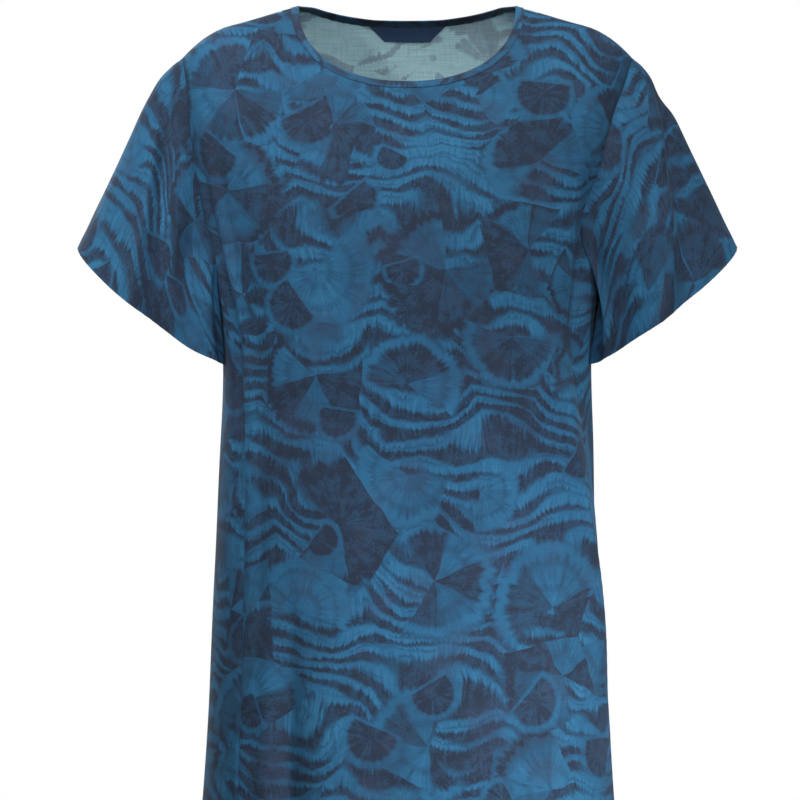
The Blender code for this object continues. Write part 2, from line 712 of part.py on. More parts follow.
def label_mesh(body_tree):
    """A blank neck label with slanting ends, inside the back just under the binding."""
    across_steps, down_steps = 8, 2
    centre_back = body_point(180, neckline_place(BACK_NECK_DROP, False).y)

    def point_at(j, i):
        down = i / down_steps
        x = mix(LABEL_TOP_WIDTH, LABEL_BOTTOM_WIDTH, down) * (0.5 - j / across_steps)
        share = abs(x) / NECK_HALF_WIDTH
        neck_drop = BACK_NECK_DROP * (1 - share**BACK_NECK_CORNER) ** (1 / BACK_NECK_CORNER)
        place = yoke_place(x, neck_drop, False)
        top = body_point(place.x, place.y)
        below = BINDING_WIDTH + 2 * SEAM_GAP + LABEL_HEIGHT * down
        guess = Vector((x, top.y + below * 0.55, top.z - below * 0.84))
        spot, normal, _, _ = body_tree.find_nearest(guess)
        return spot - normal * (CLOTH_WALL + SEAM_GAP + 0.0001)

    return grid_mesh(across_steps, down_steps, point_at)


def build():
    for old in list(bpy.data.objects):
        bpy.data.objects.remove(old)
    dress = bpy.data.collections.new("maxi_dress")
    bpy.context.scene.collection.children.link(dress)
    cloth = material("printed_cloth", CLOTH_COLOUR, 0.75)
    binding = material("neck_binding_cloth", BINDING_COLOUR, 0.75)
    label = material("label_satin", LABEL_COLOUR, 0.45)

    panels = {"front_panel": panel_mesh(True), "back_panel": panel_mesh(False)}
    body = bmesh.new()
    for mesh in panels.values():
        data = bpy.data.meshes.new("body_guide")
        mesh.to_mesh(data)
        body.from_mesh(data)
        bpy.data.meshes.remove(data)
    bmesh.ops.remove_doubles(body, verts=body.verts[:], dist=0.00001)
    bmesh.ops.recalc_face_normals(body, faces=body.faces[:])
    body_steps = inward_steps(body, CLOTH_WALL)
    body_tree = BVHTree.FromBMesh(body)
    for vertex, (_, step) in zip(body.verts, body_steps):
        vertex.co += step
    inner_tree = BVHTree.FromBMesh(body)
    body.free()

    for name, mesh in panels.items():
        add_wall(mesh, body_steps, SEAM_GAP * 0.6)
        add_object(name, mesh, cloth, dress)
    for name, side in (("sleeve_right", -1), ("sleeve_left", 1)):
        mesh = sleeve_mesh(side)
        add_wall(mesh, inward_steps(mesh, CLOTH_WALL), 0)
        add_object(name, mesh, cloth, dress)
    add_object("neck_binding", binding_mesh(body_tree, inner_tree), binding, dress)
    mesh = label_mesh(body_tree)
    add_wall(mesh, inward_steps(mesh, BINDING_WALL), 0)
    add_object("neck_label", mesh, label, dress)


build()
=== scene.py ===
# Looks for the maxi dress: thin printed cloth on its worn form, a bound neck, stitched hems and a bare
# label. Metres, +Z up, the front faces -Y. A drop is measured down from the neck points, where the
# shoulder seams meet the neckline. An angle runs round the body from the centre front, positive
# towards +X.
import math
from collections import namedtuple

import bmesh
import bpy
import numpy as np
from mathutils import Matrix, Vector, noise
from mathutils.bvhtree import BVHTree


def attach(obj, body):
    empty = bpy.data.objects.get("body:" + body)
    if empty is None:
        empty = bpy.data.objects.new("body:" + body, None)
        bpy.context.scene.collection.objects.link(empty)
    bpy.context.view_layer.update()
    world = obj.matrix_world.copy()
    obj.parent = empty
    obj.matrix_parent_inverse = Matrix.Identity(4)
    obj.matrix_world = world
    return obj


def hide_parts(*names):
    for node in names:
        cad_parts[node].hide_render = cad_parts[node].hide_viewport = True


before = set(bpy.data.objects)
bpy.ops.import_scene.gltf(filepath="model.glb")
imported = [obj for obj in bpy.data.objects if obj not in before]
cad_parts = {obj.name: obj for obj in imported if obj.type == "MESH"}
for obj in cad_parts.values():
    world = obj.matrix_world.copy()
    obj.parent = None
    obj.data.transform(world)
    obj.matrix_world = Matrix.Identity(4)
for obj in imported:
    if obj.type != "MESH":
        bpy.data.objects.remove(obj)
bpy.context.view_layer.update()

# The worn form, in the sizes of the solids
form = {
    "neckPointHeight": 0.014,
    "length": 1.400,
    "underarmDrop": 0.262,
    "shoulderHalfWidth": 0.2145,
    "shoulderTipDrop": 0.050,
    "neckHalfWidth": 0.104,
    "frontNeckDrop": 0.074,
    "frontNeckCorner": 2.2,
    # The back neckline seen from the front: half width, drop
    "backNeckLine": (
        (0.0000, 0.0125),
        (0.0280, 0.0120),
        (0.0447, 0.0103),
        (0.0624, 0.0075),
        (0.0790, 0.0037),
        (0.0913, 0.0006),
        (0.1040, 0.0000),
    ),
    "bustDepth": 0.128,
    "bladeDepth": 0.115,
    "yokeCorner": 2.5,
    "frontRoundness": 1.07,
    "backRoundness": 2.58,
    "sideRoundness": 3.4,
    "armholeBottomPower": 1.6,
    # The shoulder seam seen from the front: half width, drop
    "shoulderLine": (
        (-0.0520, -0.0113),
        (0.0000, -0.0150),
        (0.0520, -0.0113),
        (0.1040, 0.0000),
        (0.1500, 0.0133),
        (0.1760, 0.0209),
        (0.1900, 0.0285),
        (0.2005, 0.0365),
        (0.2145, 0.0500),
    ),
    # The side of the body inside the sleeve: drop, half width
    "yokeSideLine": (
        (0.050, 0.2145),
        (0.100, 0.2128),
        (0.150, 0.2080),
        (0.200, 0.1990),
        (0.240, 0.1895),
        (0.262, 0.1845),
    ),
}

Section = namedtuple("Section", "drop halfWidth front back corner")
skirtSections = (
    Section(0.262, 0.1845, 0.1280, 0.1150, 2.50),
    Section(0.300, 0.1780, 0.1276, 0.1120, 2.46),
    Section(0.338, 0.1750, 0.1262, 0.1080, 2.43),
    Section(0.422, 0.1780, 0.1222, 0.1020, 2.40),
    Section(0.536, 0.1830, 0.1218, 0.1055, 2.34),
    Section(0.650, 0.1880, 0.1270, 0.1150, 2.30),
    Section(0.754, 0.1940, 0.1340, 0.1245, 2.27),
    Section(1.050, 0.2110, 0.1530, 0.1440, 2.18),
    Section(1.400, 0.2340, 0.1760, 0.1660, 2.10),
)

# Side seams as angles. The dress sits a little turned, so its right seam shows from the front.
Seam = namedtuple("Seam", "drop right left")
sideSeams = (
    Seam(0.262, -78, 96),
    Seam(0.300, -70, 101),
    Seam(0.345, -63, 107.5),
    Seam(0.400, -58.5, 112),
    Seam(0.470, -56, 115),
    Seam(0.660, -54.4, 119),
    Seam(0.754, -53.2, 121),
    Seam(1.400, -50, 125),
)

# Armhole seams from the shoulder tip (0) to the underarm (1), as angles
Armhole = namedtuple("Armhole", "share rightFront rightBack leftFront leftBack")
armholes = (
    Armhole(0.00, -90, -90, 90, 90),
    Armhole(0.012, -84, -97, 83, 97),
    Armhole(0.05, -80.5, -102, 78, 102),
    Armhole(0.11, -78.5, -106, 72, 106),
    Armhole(0.20, -77, -111, 65, 111),
    Armhole(0.35, -76, -114, 60, 114.5),
    Armhole(0.55, -75.5, -112, 58, 115),
    Armhole(0.75, -73.5, -105, 65, 112),
    Armhole(0.90, -74.5, -91, 80, 104.5),
    Armhole(1.00, -78, -78, 96, 96),
)

# Folds down the body. A lift is positive for a ridge, and a spread is how far it fades to each side.
Fold = namedtuple("Fold", "start full end topAngle footAngle lift footLift spread footSpread")
bodyFolds = (
    Fold(0.255, 0.360, 0.78, 44, 92, 0.0070, 0.004, 0.018, 0.020),
    Fold(0.265, 0.350, 0.72, 68, 114, -0.0050, -0.002, 0.020, 0.022),
    Fold(0.090, 0.200, 0.46, -48, -58, -0.0035, -0.003, 0.020, 0.020),
    Fold(0.500, 0.760, 1.60, -34, -31, -0.0060, -0.013, 0.017, 0.026),
    Fold(0.480, 0.740, 1.60, -20, -17, 0.0030, 0.012, 0.020, 0.034),
    Fold(0.640, 1.180, 1.60, 6, 12, 0.0110, 0.014, 0.030, 0.038),
    Fold(0.560, 1.050, 1.60, 30, 35, -0.0060, -0.010, 0.020, 0.028),
    Fold(0.700, 1.250, 1.60, 50, 54, 0.0130, 0.016, 0.028, 0.036),
    Fold(0.620, 1.150, 1.60, 88, 91, 0.0110, 0.014, 0.026, 0.034),
    Fold(0.520, 1.100, 1.60, 124, 122, 0.0130, 0.017, 0.026, 0.036),
    Fold(0.340, 0.900, 1.60, 147, 146, -0.0050, -0.010, 0.018, 0.026),
    Fold(0.300, 0.980, 1.60, 163, 160, 0.0070, 0.014, 0.020, 0.032),
    Fold(0.340, 0.950, 1.60, 186, 182, -0.0050, -0.008, 0.020, 0.028),
    Fold(0.320, 1.020, 1.60, -156, -159, 0.0080, 0.015, 0.022, 0.034),
    Fold(0.420, 1.000, 1.60, -137, -139, -0.0050, -0.010, 0.018, 0.026),
    Fold(0.560, 1.120, 1.60, -119, -118, 0.0120, 0.016, 0.026, 0.034),
    Fold(0.660, 1.200, 1.60, -88, -86, 0.0100, 0.014, 0.026, 0.034),
    Fold(0.600, 1.150, 1.60, -56, -55, 0.0090, 0.013, 0.022, 0.030),
)

# Finer creases that the solids leave out
fineCreases = (
    Fold(0.070, 0.150, 0.38, -60, -54, -0.0040, -0.0044, 0.007, 0.008),
    Fold(0.110, 0.200, 0.42, -70, -64, -0.0080, -0.0050, 0.011, 0.011),
    Fold(0.200, 0.250, 0.44, -65, -53, 0.0026, 0.0022, 0.006, 0.007),
    Fold(0.215, 0.270, 0.50, -72, -58, -0.0044, -0.0030, 0.005, 0.007),
    Fold(0.260, 0.340, 0.66, -49, -46, -0.0022, -0.0026, 0.007, 0.010),
    Fold(0.120, 0.180, 0.40, -38, -42, 0.0010, 0.0010, 0.012, 0.013),
    Fold(0.270, 0.360, 0.74, 34, 102, 0.0036, 0.0024, 0.007, 0.009),
    Fold(0.130, 0.230, 0.44, 53, 74, -0.0170, -0.0080, 0.016, 0.015),
    Fold(0.150, 0.240, 0.40, 40, 55, -0.0010, -0.0010, 0.012, 0.012),
    Fold(0.500, 0.640, 1.40, -34, -31, -0.0034, -0.0030, 0.008, 0.011),
    Fold(0.540, 0.700, 1.30, -42, -41, 0.0024, 0.0030, 0.009, 0.012),
    Fold(0.520, 0.640, 0.98, 22, 17, -0.0011, -0.0014, 0.013, 0.016),
    Fold(0.480, 0.620, 0.90, -4, 2, 0.0009, 0.0012, 0.015, 0.018),
    Fold(0.100, 0.200, 0.42, 134, 128, -0.0014, -0.0014, 0.010, 0.010),
    Fold(0.110, 0.210, 0.46, 150, 146, 0.0012, 0.0012, 0.011, 0.012),
    Fold(0.060, 0.140, 0.40, 196, 190, -0.0010, -0.0012, 0.013, 0.015),
    Fold(0.120, 0.220, 0.48, -140, -146, -0.0015, -0.0014, 0.010, 0.011),
    Fold(0.130, 0.220, 0.44, -126, -130, 0.0013, 0.0012, 0.010, 0.010),
)

allFolds = bodyFolds + fineCreases


def mix(a, b, share):
    return a + (b - a) * share


def ease(value):
    value = np.clip(value, 0.0, 1.0)
    return value * value * (3 - 2 * value)


# How far an angle is from another, between -180 and 180
def turnBetween(angle, other):
    return (angle - other + 180) % 360 - 180


def unit(vectors):
    return vectors / np.maximum(np.linalg.norm(vectors, axis=-1, keepdims=True), 1e-12)


# A smooth line through (place, value) points that doesn't overshoot them
def smoothCurve(points):
    places = np.array([point[0] for point in points], float)
    values = np.array([point[1] for point in points], float)
    steps = np.diff(places)
    rises = np.diff(values) / steps
    slopes = np.zeros(len(points))
    slopes[0] = rises[0]
    slopes[-1] = rises[-1]
    for k in range(1, len(points) - 1):
        product = rises[k - 1] * rises[k]
        if product > 0:
            slopes[k] = 2 * product / (rises[k - 1] + rises[k])

    def valueAt(place):
        place = np.clip(place, places[0], places[-1])
        i = np.clip(np.searchsorted(places, place, side="right") - 1, 0, len(steps) - 1)
        t = (place - places[i]) / steps[i]
        return (
            values[i] * (1 + 2 * t) * (1 - t) ** 2
            + slopes[i] * steps[i] * t * (1 - t) ** 2
            + values[i + 1] * t * t * (3 - 2 * t)
            + slopes[i + 1] * steps[i] * t * t * (t - 1)
        )

    return valueAt


def column(rows, place, value):
    return smoothCurve([(getattr(row, place), getattr(row, value)) for row in rows])


shoulderLine = smoothCurve(form["shoulderLine"])
yokeSideLine = smoothCurve(form["yokeSideLine"])
skirtHalfWidth = column(skirtSections, "drop", "halfWidth")
skirtFront = column(skirtSections, "drop", "front")
skirtBack = column(skirtSections, "drop", "back")
skirtCorner = column(skirtSections, "drop", "corner")
rightSeam = column(sideSeams, "drop", "right")
leftSeam = column(sideSeams, "drop", "left")
armholeAngles = {
    name: column(armholes, "share", name)
    for name in ("rightFront", "rightBack", "leftFront", "leftBack")
}


# How far across and forward a rounded ring is at an angle, as shares of its half width and depth
def ringShares(angle, corner):
    across = np.sin(np.radians(angle))
    forward = np.cos(np.radians(angle))
    power = 2 / corner
    return np.copysign(np.abs(across) ** power, across), np.copysign(np.abs(forward) ** power, forward)


# How far the folds lift each point of the body outwards
def foldLift(folds, angle, drop, halfWidth):
    total = np.zeros_like(drop)
    for fold in folds:
        run = (drop - fold.start) / (min(fold.end, form["length"]) - fold.start)
        lift = mix(fold.lift, fold.footLift, run) * ease((drop - fold.start) / (fold.full - fold.start))
        if fold.end < form["length"]:
            lift = lift * ease((fold.end - drop) / (0.35 * (fold.end - fold.start)))
        centre = mix(fold.topAngle, fold.footAngle, run)
        away = np.radians(turnBetween(angle, centre)) * halfWidth * 0.85
        lift = lift * np.exp(-((away / mix(fold.spread, fold.footSpread, run)) ** 2))
        total += np.where((drop > fold.start) & (drop < fold.end), lift, 0)
    return total


# The body's outer face. Level 0 is the shoulder ridge, 1 the underarm and 2 the hem.
def bodyPoints(angle, level, folds=allFolds):
    angle, level = np.broadcast_arrays(np.asarray(angle, float), np.asarray(level, float))
    top = np.clip(level, 0, 1)
    across, forward = ringShares(angle, form["yokeCorner"])
    yokeDrop = mix(shoulderLine(form["shoulderHalfWidth"] * np.abs(across)), form["underarmDrop"], top)
    yokeWidth = yokeSideLine(mix(form["shoulderTipDrop"], form["underarmDrop"], top))
    atCentre = np.where(forward > 0, form["frontRoundness"], form["backRoundness"])
    roundness = mix(atCentre, form["sideRoundness"], across**4)
    yokeDepth = np.where(forward > 0, form["bustDepth"], form["bladeDepth"])
    yokeDepth = yokeDepth * (1 - (1 - top) ** 2) ** (1 / roundness)
    skirtDrop = mix(form["underarmDrop"], form["length"], np.maximum(level - 1, 0))
    skirtAcross, skirtForward = ringShares(angle, skirtCorner(skirtDrop))
    skirtDepth = np.where(skirtForward > 0, skirtFront(skirtDrop), skirtBack(skirtDrop))
    inYoke = level < 1
    drop = np.where(inYoke, yokeDrop, skirtDrop)
    halfWidth = np.where(inYoke, yokeWidth, skirtHalfWidth(skirtDrop))
    depth = np.where(inYoke, yokeDepth, skirtDepth)
    x = halfWidth * np.where(inYoke, across, skirtAcross)
    y = -depth * np.where(inYoke, forward, skirtForward)
    lift = foldLift(folds, angle, drop, halfWidth)
    outX = x / halfWidth**2
    outY = y / np.maximum(depth, 0.02) ** 2
    size = np.maximum(np.hypot(outX, outY), 1e-9)
    return np.stack((x + outX / size * lift, y + outY / size * lift, form["neckPointHeight"] - drop), -1)


# The angle and level of the yoke's point that is seen from the front at x and drop
def yokePlace(x, drop, front):
    level = np.zeros_like(drop)
    for _ in range(40):
        across = np.abs(x) / yokeSideLine(mix(form["shoulderTipDrop"], form["underarmDrop"], level))
        ridge = shoulderLine(form["shoulderHalfWidth"] * across)
        level = np.maximum(0.0, (drop - ridge) / (form["underarmDrop"] - ridge))
    angle = np.degrees(np.arcsin(np.minimum(1.0, across ** (form["yokeCorner"] / 2))))
    return (angle if front else 180 - angle), level


backNeckLine = smoothCurve(form["backNeckLine"])


# The neckline's drop at a half width
def neckDropAt(x, front):
    if front:
        corner = form["frontNeckCorner"]
        share = np.minimum(1.0, np.abs(x) / form["neckHalfWidth"])
        return form["frontNeckDrop"] * (1 - share**corner) ** (1 / corner)
    return backNeckLine(np.abs(x))


# The neckline on the +X side, from the neck point to the centre, measured along the cloth
def measureNeckline(front):
    turn = np.linspace(0, math.pi / 2, 1601) ** 2 / (math.pi / 2)
    x = form["neckHalfWidth"] * np.cos(turn)
    angle, level = yokePlace(x, neckDropAt(x, front), front)
    steps = np.linalg.norm(np.diff(bodyPoints(angle, level, ()), axis=0), axis=1)
    return {"length": np.concatenate(([0], np.cumsum(steps))), "angle": angle, "level": level}


necklines = {True: measureNeckline(True), False: measureNeckline(False)}


# The angle and level of the neckline on the +X side, at a length from the neck point
def necklinePlace(length, front):
    line = necklines[front]
    return [np.interp(length, line["length"], line[name]) for name in ("angle", "level")]


# The angle and level of an armhole seam at its share from the shoulder tip
def armholePlace(side, front, share):
    name = ("left" if side > 0 else "right") + ("Front" if front else "Back")
    return armholeAngles[name](share), 1 - (1 - share) ** form["armholeBottomPower"]


def armholeShare(level):
    return 1 - (1 - level) ** (1 / form["armholeBottomPower"])


# Lengths along the cloth: across from the centre line, and up from the underarm line
def flatPattern(angle, level, front):
    centre = 0 if front else 180
    steps = np.linspace(0, 1, 33) ** 1.15
    ring = bodyPoints(centre + (angle - centre)[..., None] * steps, level[..., None], ())
    across = np.sqrt((np.diff(ring, axis=-2) ** 2).sum(-1)).sum(-1)
    across = np.copysign(across, angle - centre)
    steps = np.linspace(0, 1, 25)
    down = bodyPoints(angle[..., None], mix(1.0, level[..., None], steps), ())
    along = np.sqrt((np.diff(down, axis=-2) ** 2).sum(-1)).sum(-1)
    return np.stack((across, np.where(level > 1, -along, along)), -1)


# How far each point of a grid is from the grid's first row or column, along the cloth
def runLengths(points, axis):
    steps = np.sqrt((np.diff(points, axis=axis) ** 2).sum(-1))
    steps = np.nan_to_num(steps)
    start = np.zeros_like(np.take(steps, [0], axis=axis))
    return np.concatenate((start, np.cumsum(steps, axis=axis)), axis=axis)


# The steps between a grid's points, taken from one side only at its edges
def gridSteps(points, axis):
    ahead = np.roll(points, -1, axis) - points
    behind = points - np.roll(points, 1, axis)
    last = np.take(behind, [-1], axis=axis)
    first = np.take(ahead, [0], axis=axis)
    if axis == 0:
        ahead[-1:], behind[:1] = last, first
    else:
        ahead[:, -1:], behind[:, :1] = last, first
    return np.where(np.isnan(ahead), behind, ahead) + np.where(np.isnan(behind), ahead, behind)


def gridNormals(points):
    return unit(np.cross(gridSteps(points, 0), gridSteps(points, 1)))


# A gentle unevenness of the cloth
def softNoise(points, size, seed):
    flat = points.reshape(-1, 3)
    start = Vector((seed, 0, 0))
    values = [0 if np.isnan(p[0]) else noise.noise(Vector(p) / size + start) for p in flat]
    return np.array(values).reshape(points.shape[:-1])


# What the sewing does to the cloth, on the body and the sleeves alike
sewing = {
    "wall": 0.0006,
    "hemWall": 0.0012,
    "seamDip": 0.0011,
    "seamReach": 0.0021,
    "tipReach": 0.006,
    "hemWidth": 0.014,
    "hemStep": 0.00035,
    "stitchLine": 0.013,
    "stitchDip": 0.00022,
    "stitchDipReach": 0.0012,
    "pucker": 0.00022,
    "puckerLength": 0.009,
}


def seamRelief(distance):
    return -sewing["seamDip"] * np.exp(-((distance / sewing["seamReach"]) ** 2))


# The turned hem stands a little proud, with a stitched dimple along its top and small puckers
def hemRelief(distance, along):
    step = sewing["hemStep"] * (1 - ease((distance - sewing["hemWidth"]) / 0.002))
    fromStitches = (distance - sewing["stitchLine"]) / sewing["stitchDipReach"]
    dimple = sewing["stitchDip"] * np.exp(-(fromStitches**2))
    pucker = np.sin(along * 2 * math.pi / sewing["puckerLength"] + 2.2 * np.sin(along * 41))
    pucker = sewing["pucker"] * pucker * np.exp(-((distance / (1.6 * sewing["hemWidth"])) ** 2))
    return step - dimple + pucker


# Lays a new grid of a mesh on the points, and gives each vertex's row and column. Corners without a
# point, such as those in the neck's notch, are taken away.
def layGrid(mesh, points):
    rows, columns = points.shape[0] - 1, points.shape[1] - 1
    made = bmesh.ops.create_grid(mesh, x_segments=columns, y_segments=rows, size=1)
    unused = []
    places = {}
    for vertex in made["verts"]:
        j = round((vertex.co.x + 1) / 2 * columns)
        i = round((1 - vertex.co.y) / 2 * rows)
        if np.isnan(points[i, j, 0]):
            unused.append(vertex)
        else:
            vertex.co = points[i, j]
            places[vertex] = (i, j)
    bmesh.ops.delete(mesh, geom=unused, context="VERTS")
    return places


# A cloth with a wall: its outer face is the grid, and the inner face lies inside it. A closed one is
# sewn to itself where its first and last columns meet.
def clothMesh(points, flat, walls, closed):
    mesh = bmesh.new()
    uvs = mesh.loops.layers.uv.new("flatPattern")
    steps = mesh.verts.layers.float_vector.new("wallStep")
    places = layGrid(mesh, points)
    for face in mesh.faces:
        for loop in face.loops:
            loop[uvs].uv = flat[places[loop.vert]]
    mesh.normal_update()
    for vertex in mesh.verts:
        normal = vertex.normal.copy()
        if abs(vertex.co.y) < 0.0005 and not closed:
            normal.y = 0  # the two panels share the shoulder ridge
        evenness = sum(normal.dot(face.normal) for face in vertex.link_faces) / len(vertex.link_faces)
        vertex[steps] = normal.normalized() * (-walls[places[vertex]] / max(evenness, 0.6))
    if closed:
        bmesh.ops.remove_doubles(mesh, verts=mesh.verts[:], dist=0.00001)
    made = bmesh.ops.extrude_face_region(mesh, geom=mesh.faces[:], use_keep_orig=True)
    for item in made["geom"]:
        if isinstance(item, bmesh.types.BMVert):
            item.co += item[steps]
        elif isinstance(item, bmesh.types.BMFace):
            item.material_index = 1
    bmesh.ops.recalc_face_normals(mesh, faces=mesh.faces[:])
    mesh.verts.layers.float_vector.remove(steps)
    return mesh


def addToScene(name, data):
    made = bpy.data.objects.new(name, data)
    bpy.context.scene.collection.objects.link(made)
    return made


def addPiece(name, mesh, finishes, replaced):
    data = bpy.data.meshes.new(name)
    mesh.to_mesh(data)
    mesh.free()
    data.shade_smooth()
    data.set_sharp_from_angle(angle=math.radians(48))
    for finish in finishes:
        data.materials.append(finish)
    piece = addToScene(name, data)
    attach(piece, "root")
    if replaced:
        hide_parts(replaced)
    return piece


# Shader nodes
def addNode(tree, kind, values=None, **options):
    made = tree.nodes.new(kind)
    for name, value in options.items():
        setattr(made, name, value)
    for key, value in (values or {}).items():
        if isinstance(value, bpy.types.NodeSocket):
            tree.links.new(value, made.inputs[key])
        else:
            made.inputs[key].default_value = value
    return made


def calc(tree, operation, *values):
    return addNode(tree, "ShaderNodeMath", dict(enumerate(values)), operation=operation).outputs[0]


def vectorCalc(tree, operation, *values, scale=None):
    inputs = dict(enumerate(values))
    if scale is not None:
        inputs["Scale"] = scale
    made = addNode(tree, "ShaderNodeVectorMath", inputs, operation=operation)
    return made.outputs["Value" if operation == "LENGTH" else "Vector"]


def smoothStep(tree, value, low, high):
    made = addNode(
        tree,
        "ShaderNodeMapRange",
        {"Value": value, "From Min": low, "From Max": high},
        interpolation_type="SMOOTHSTEP",
    )
    return made.outputs["Result"]


def blend(tree, share, a, b):
    return addNode(tree, "ShaderNodeMix", {0: share, 2: a, 3: b}, data_type="FLOAT").outputs[0]


def blendColours(tree, share, a, b):
    return addNode(tree, "ShaderNodeMix", {0: share, 6: a, 7: b}, data_type="RGBA").outputs[2]


def noiseAt(tree, vector, scale, detail=1.0, kind="2D"):
    values = {"Vector": vector, "Scale": scale, "Detail": detail}
    return addNode(tree, "ShaderNodeTexNoise", values, noise_dimensions=kind)


def newGroup(name, inputs, outputs):
    tree = bpy.data.node_groups.new(name, "ShaderNodeTree")
    for label, kind, value in inputs:
        socket = tree.interface.new_socket(label, in_out="INPUT", socket_type=kind)
        if value is not None:
            socket.default_value = value
    for label, kind in outputs:
        tree.interface.new_socket(label, in_out="OUTPUT", socket_type=kind)
    return tree, tree.nodes.new("NodeGroupInput").outputs, tree.nodes.new("NodeGroupOutput").inputs


# The hand-dyed print: wavering combed bands, with tied fans and half rounds laid over them. Sizes are in
# metres, and tones run from dark (0) to light (1). A warp is its size and how far it moves the print, rays
# are how many and how drawn out, and speckle and clouds are how many a metre and how strong. The other
# pairs are the two ends of a range.
dyedPrint = {
    "bandWidth": 0.020,
    "bandSlant": 0.16,
    "bandWarp": (0.105, 0.060),
    "bandEdge": (-0.75, 0.60),
    "bandTones": (0.10, 0.72),
    "bandHug": 1.4,
    "bandHugReach": (0.080, 0.030),
    "finePhase": 2.3,
    "fineDepth": 0.42,
    "smallWarp": (0.030, 0.007),
    "combWidth": 0.0026,
    "combPerMetre": 42.0,
    "combSway": 0.012,
    "combShake": 0.34,
    "fanSpacing": 0.104,
    "fanScatter": 0.9,
    "fanRadius": (0.036, 0.066),
    "fanWedges": 7,
    "fanRays": (10.0, 18.0),
    "fanRagged": 0.26,
    "fanEdge": (1.07, 0.95),
    "fanOpening": (0.35, 0.85),
    "wedgeTones": (0.22, 0.70),
    "rimPlace": 0.88,
    "rimWidth": (0.14, 0.03),
    "rimTones": (0.07, 0.66),
    "roundSpacing": 0.078,
    "roundWarp": (0.05, 0.006),
    "roundRadius": (0.013, 0.026),
    "roundRays": (5.0, 30.0),
    "roundTilt": 2.2,
    "roundFlatSide": 0.42,
    "roundEdge": (1.42, 1.18),
    "roundEdgeTone": 0.56,
    "roundCore": (1.12, 0.92),
    "roundCoreTone": 0.09,
    "speckle": (460.0, 0.22),
    "clouds": (95.0, 0.30),
    "violetShare": 0.32,
    "violet": (0.044, 0.064, 0.122, 1),
    # The dye's colour at each tone
    "stops": (
        (0.05, (0.021, 0.035, 0.066, 1)),
        (0.12, (0.024, 0.056, 0.110, 1)),
        (0.32, (0.021, 0.090, 0.180, 1)),
        (0.68, (0.025, 0.140, 0.280, 1)),
        (1.00, (0.038, 0.185, 0.345, 1)),
    ),
}


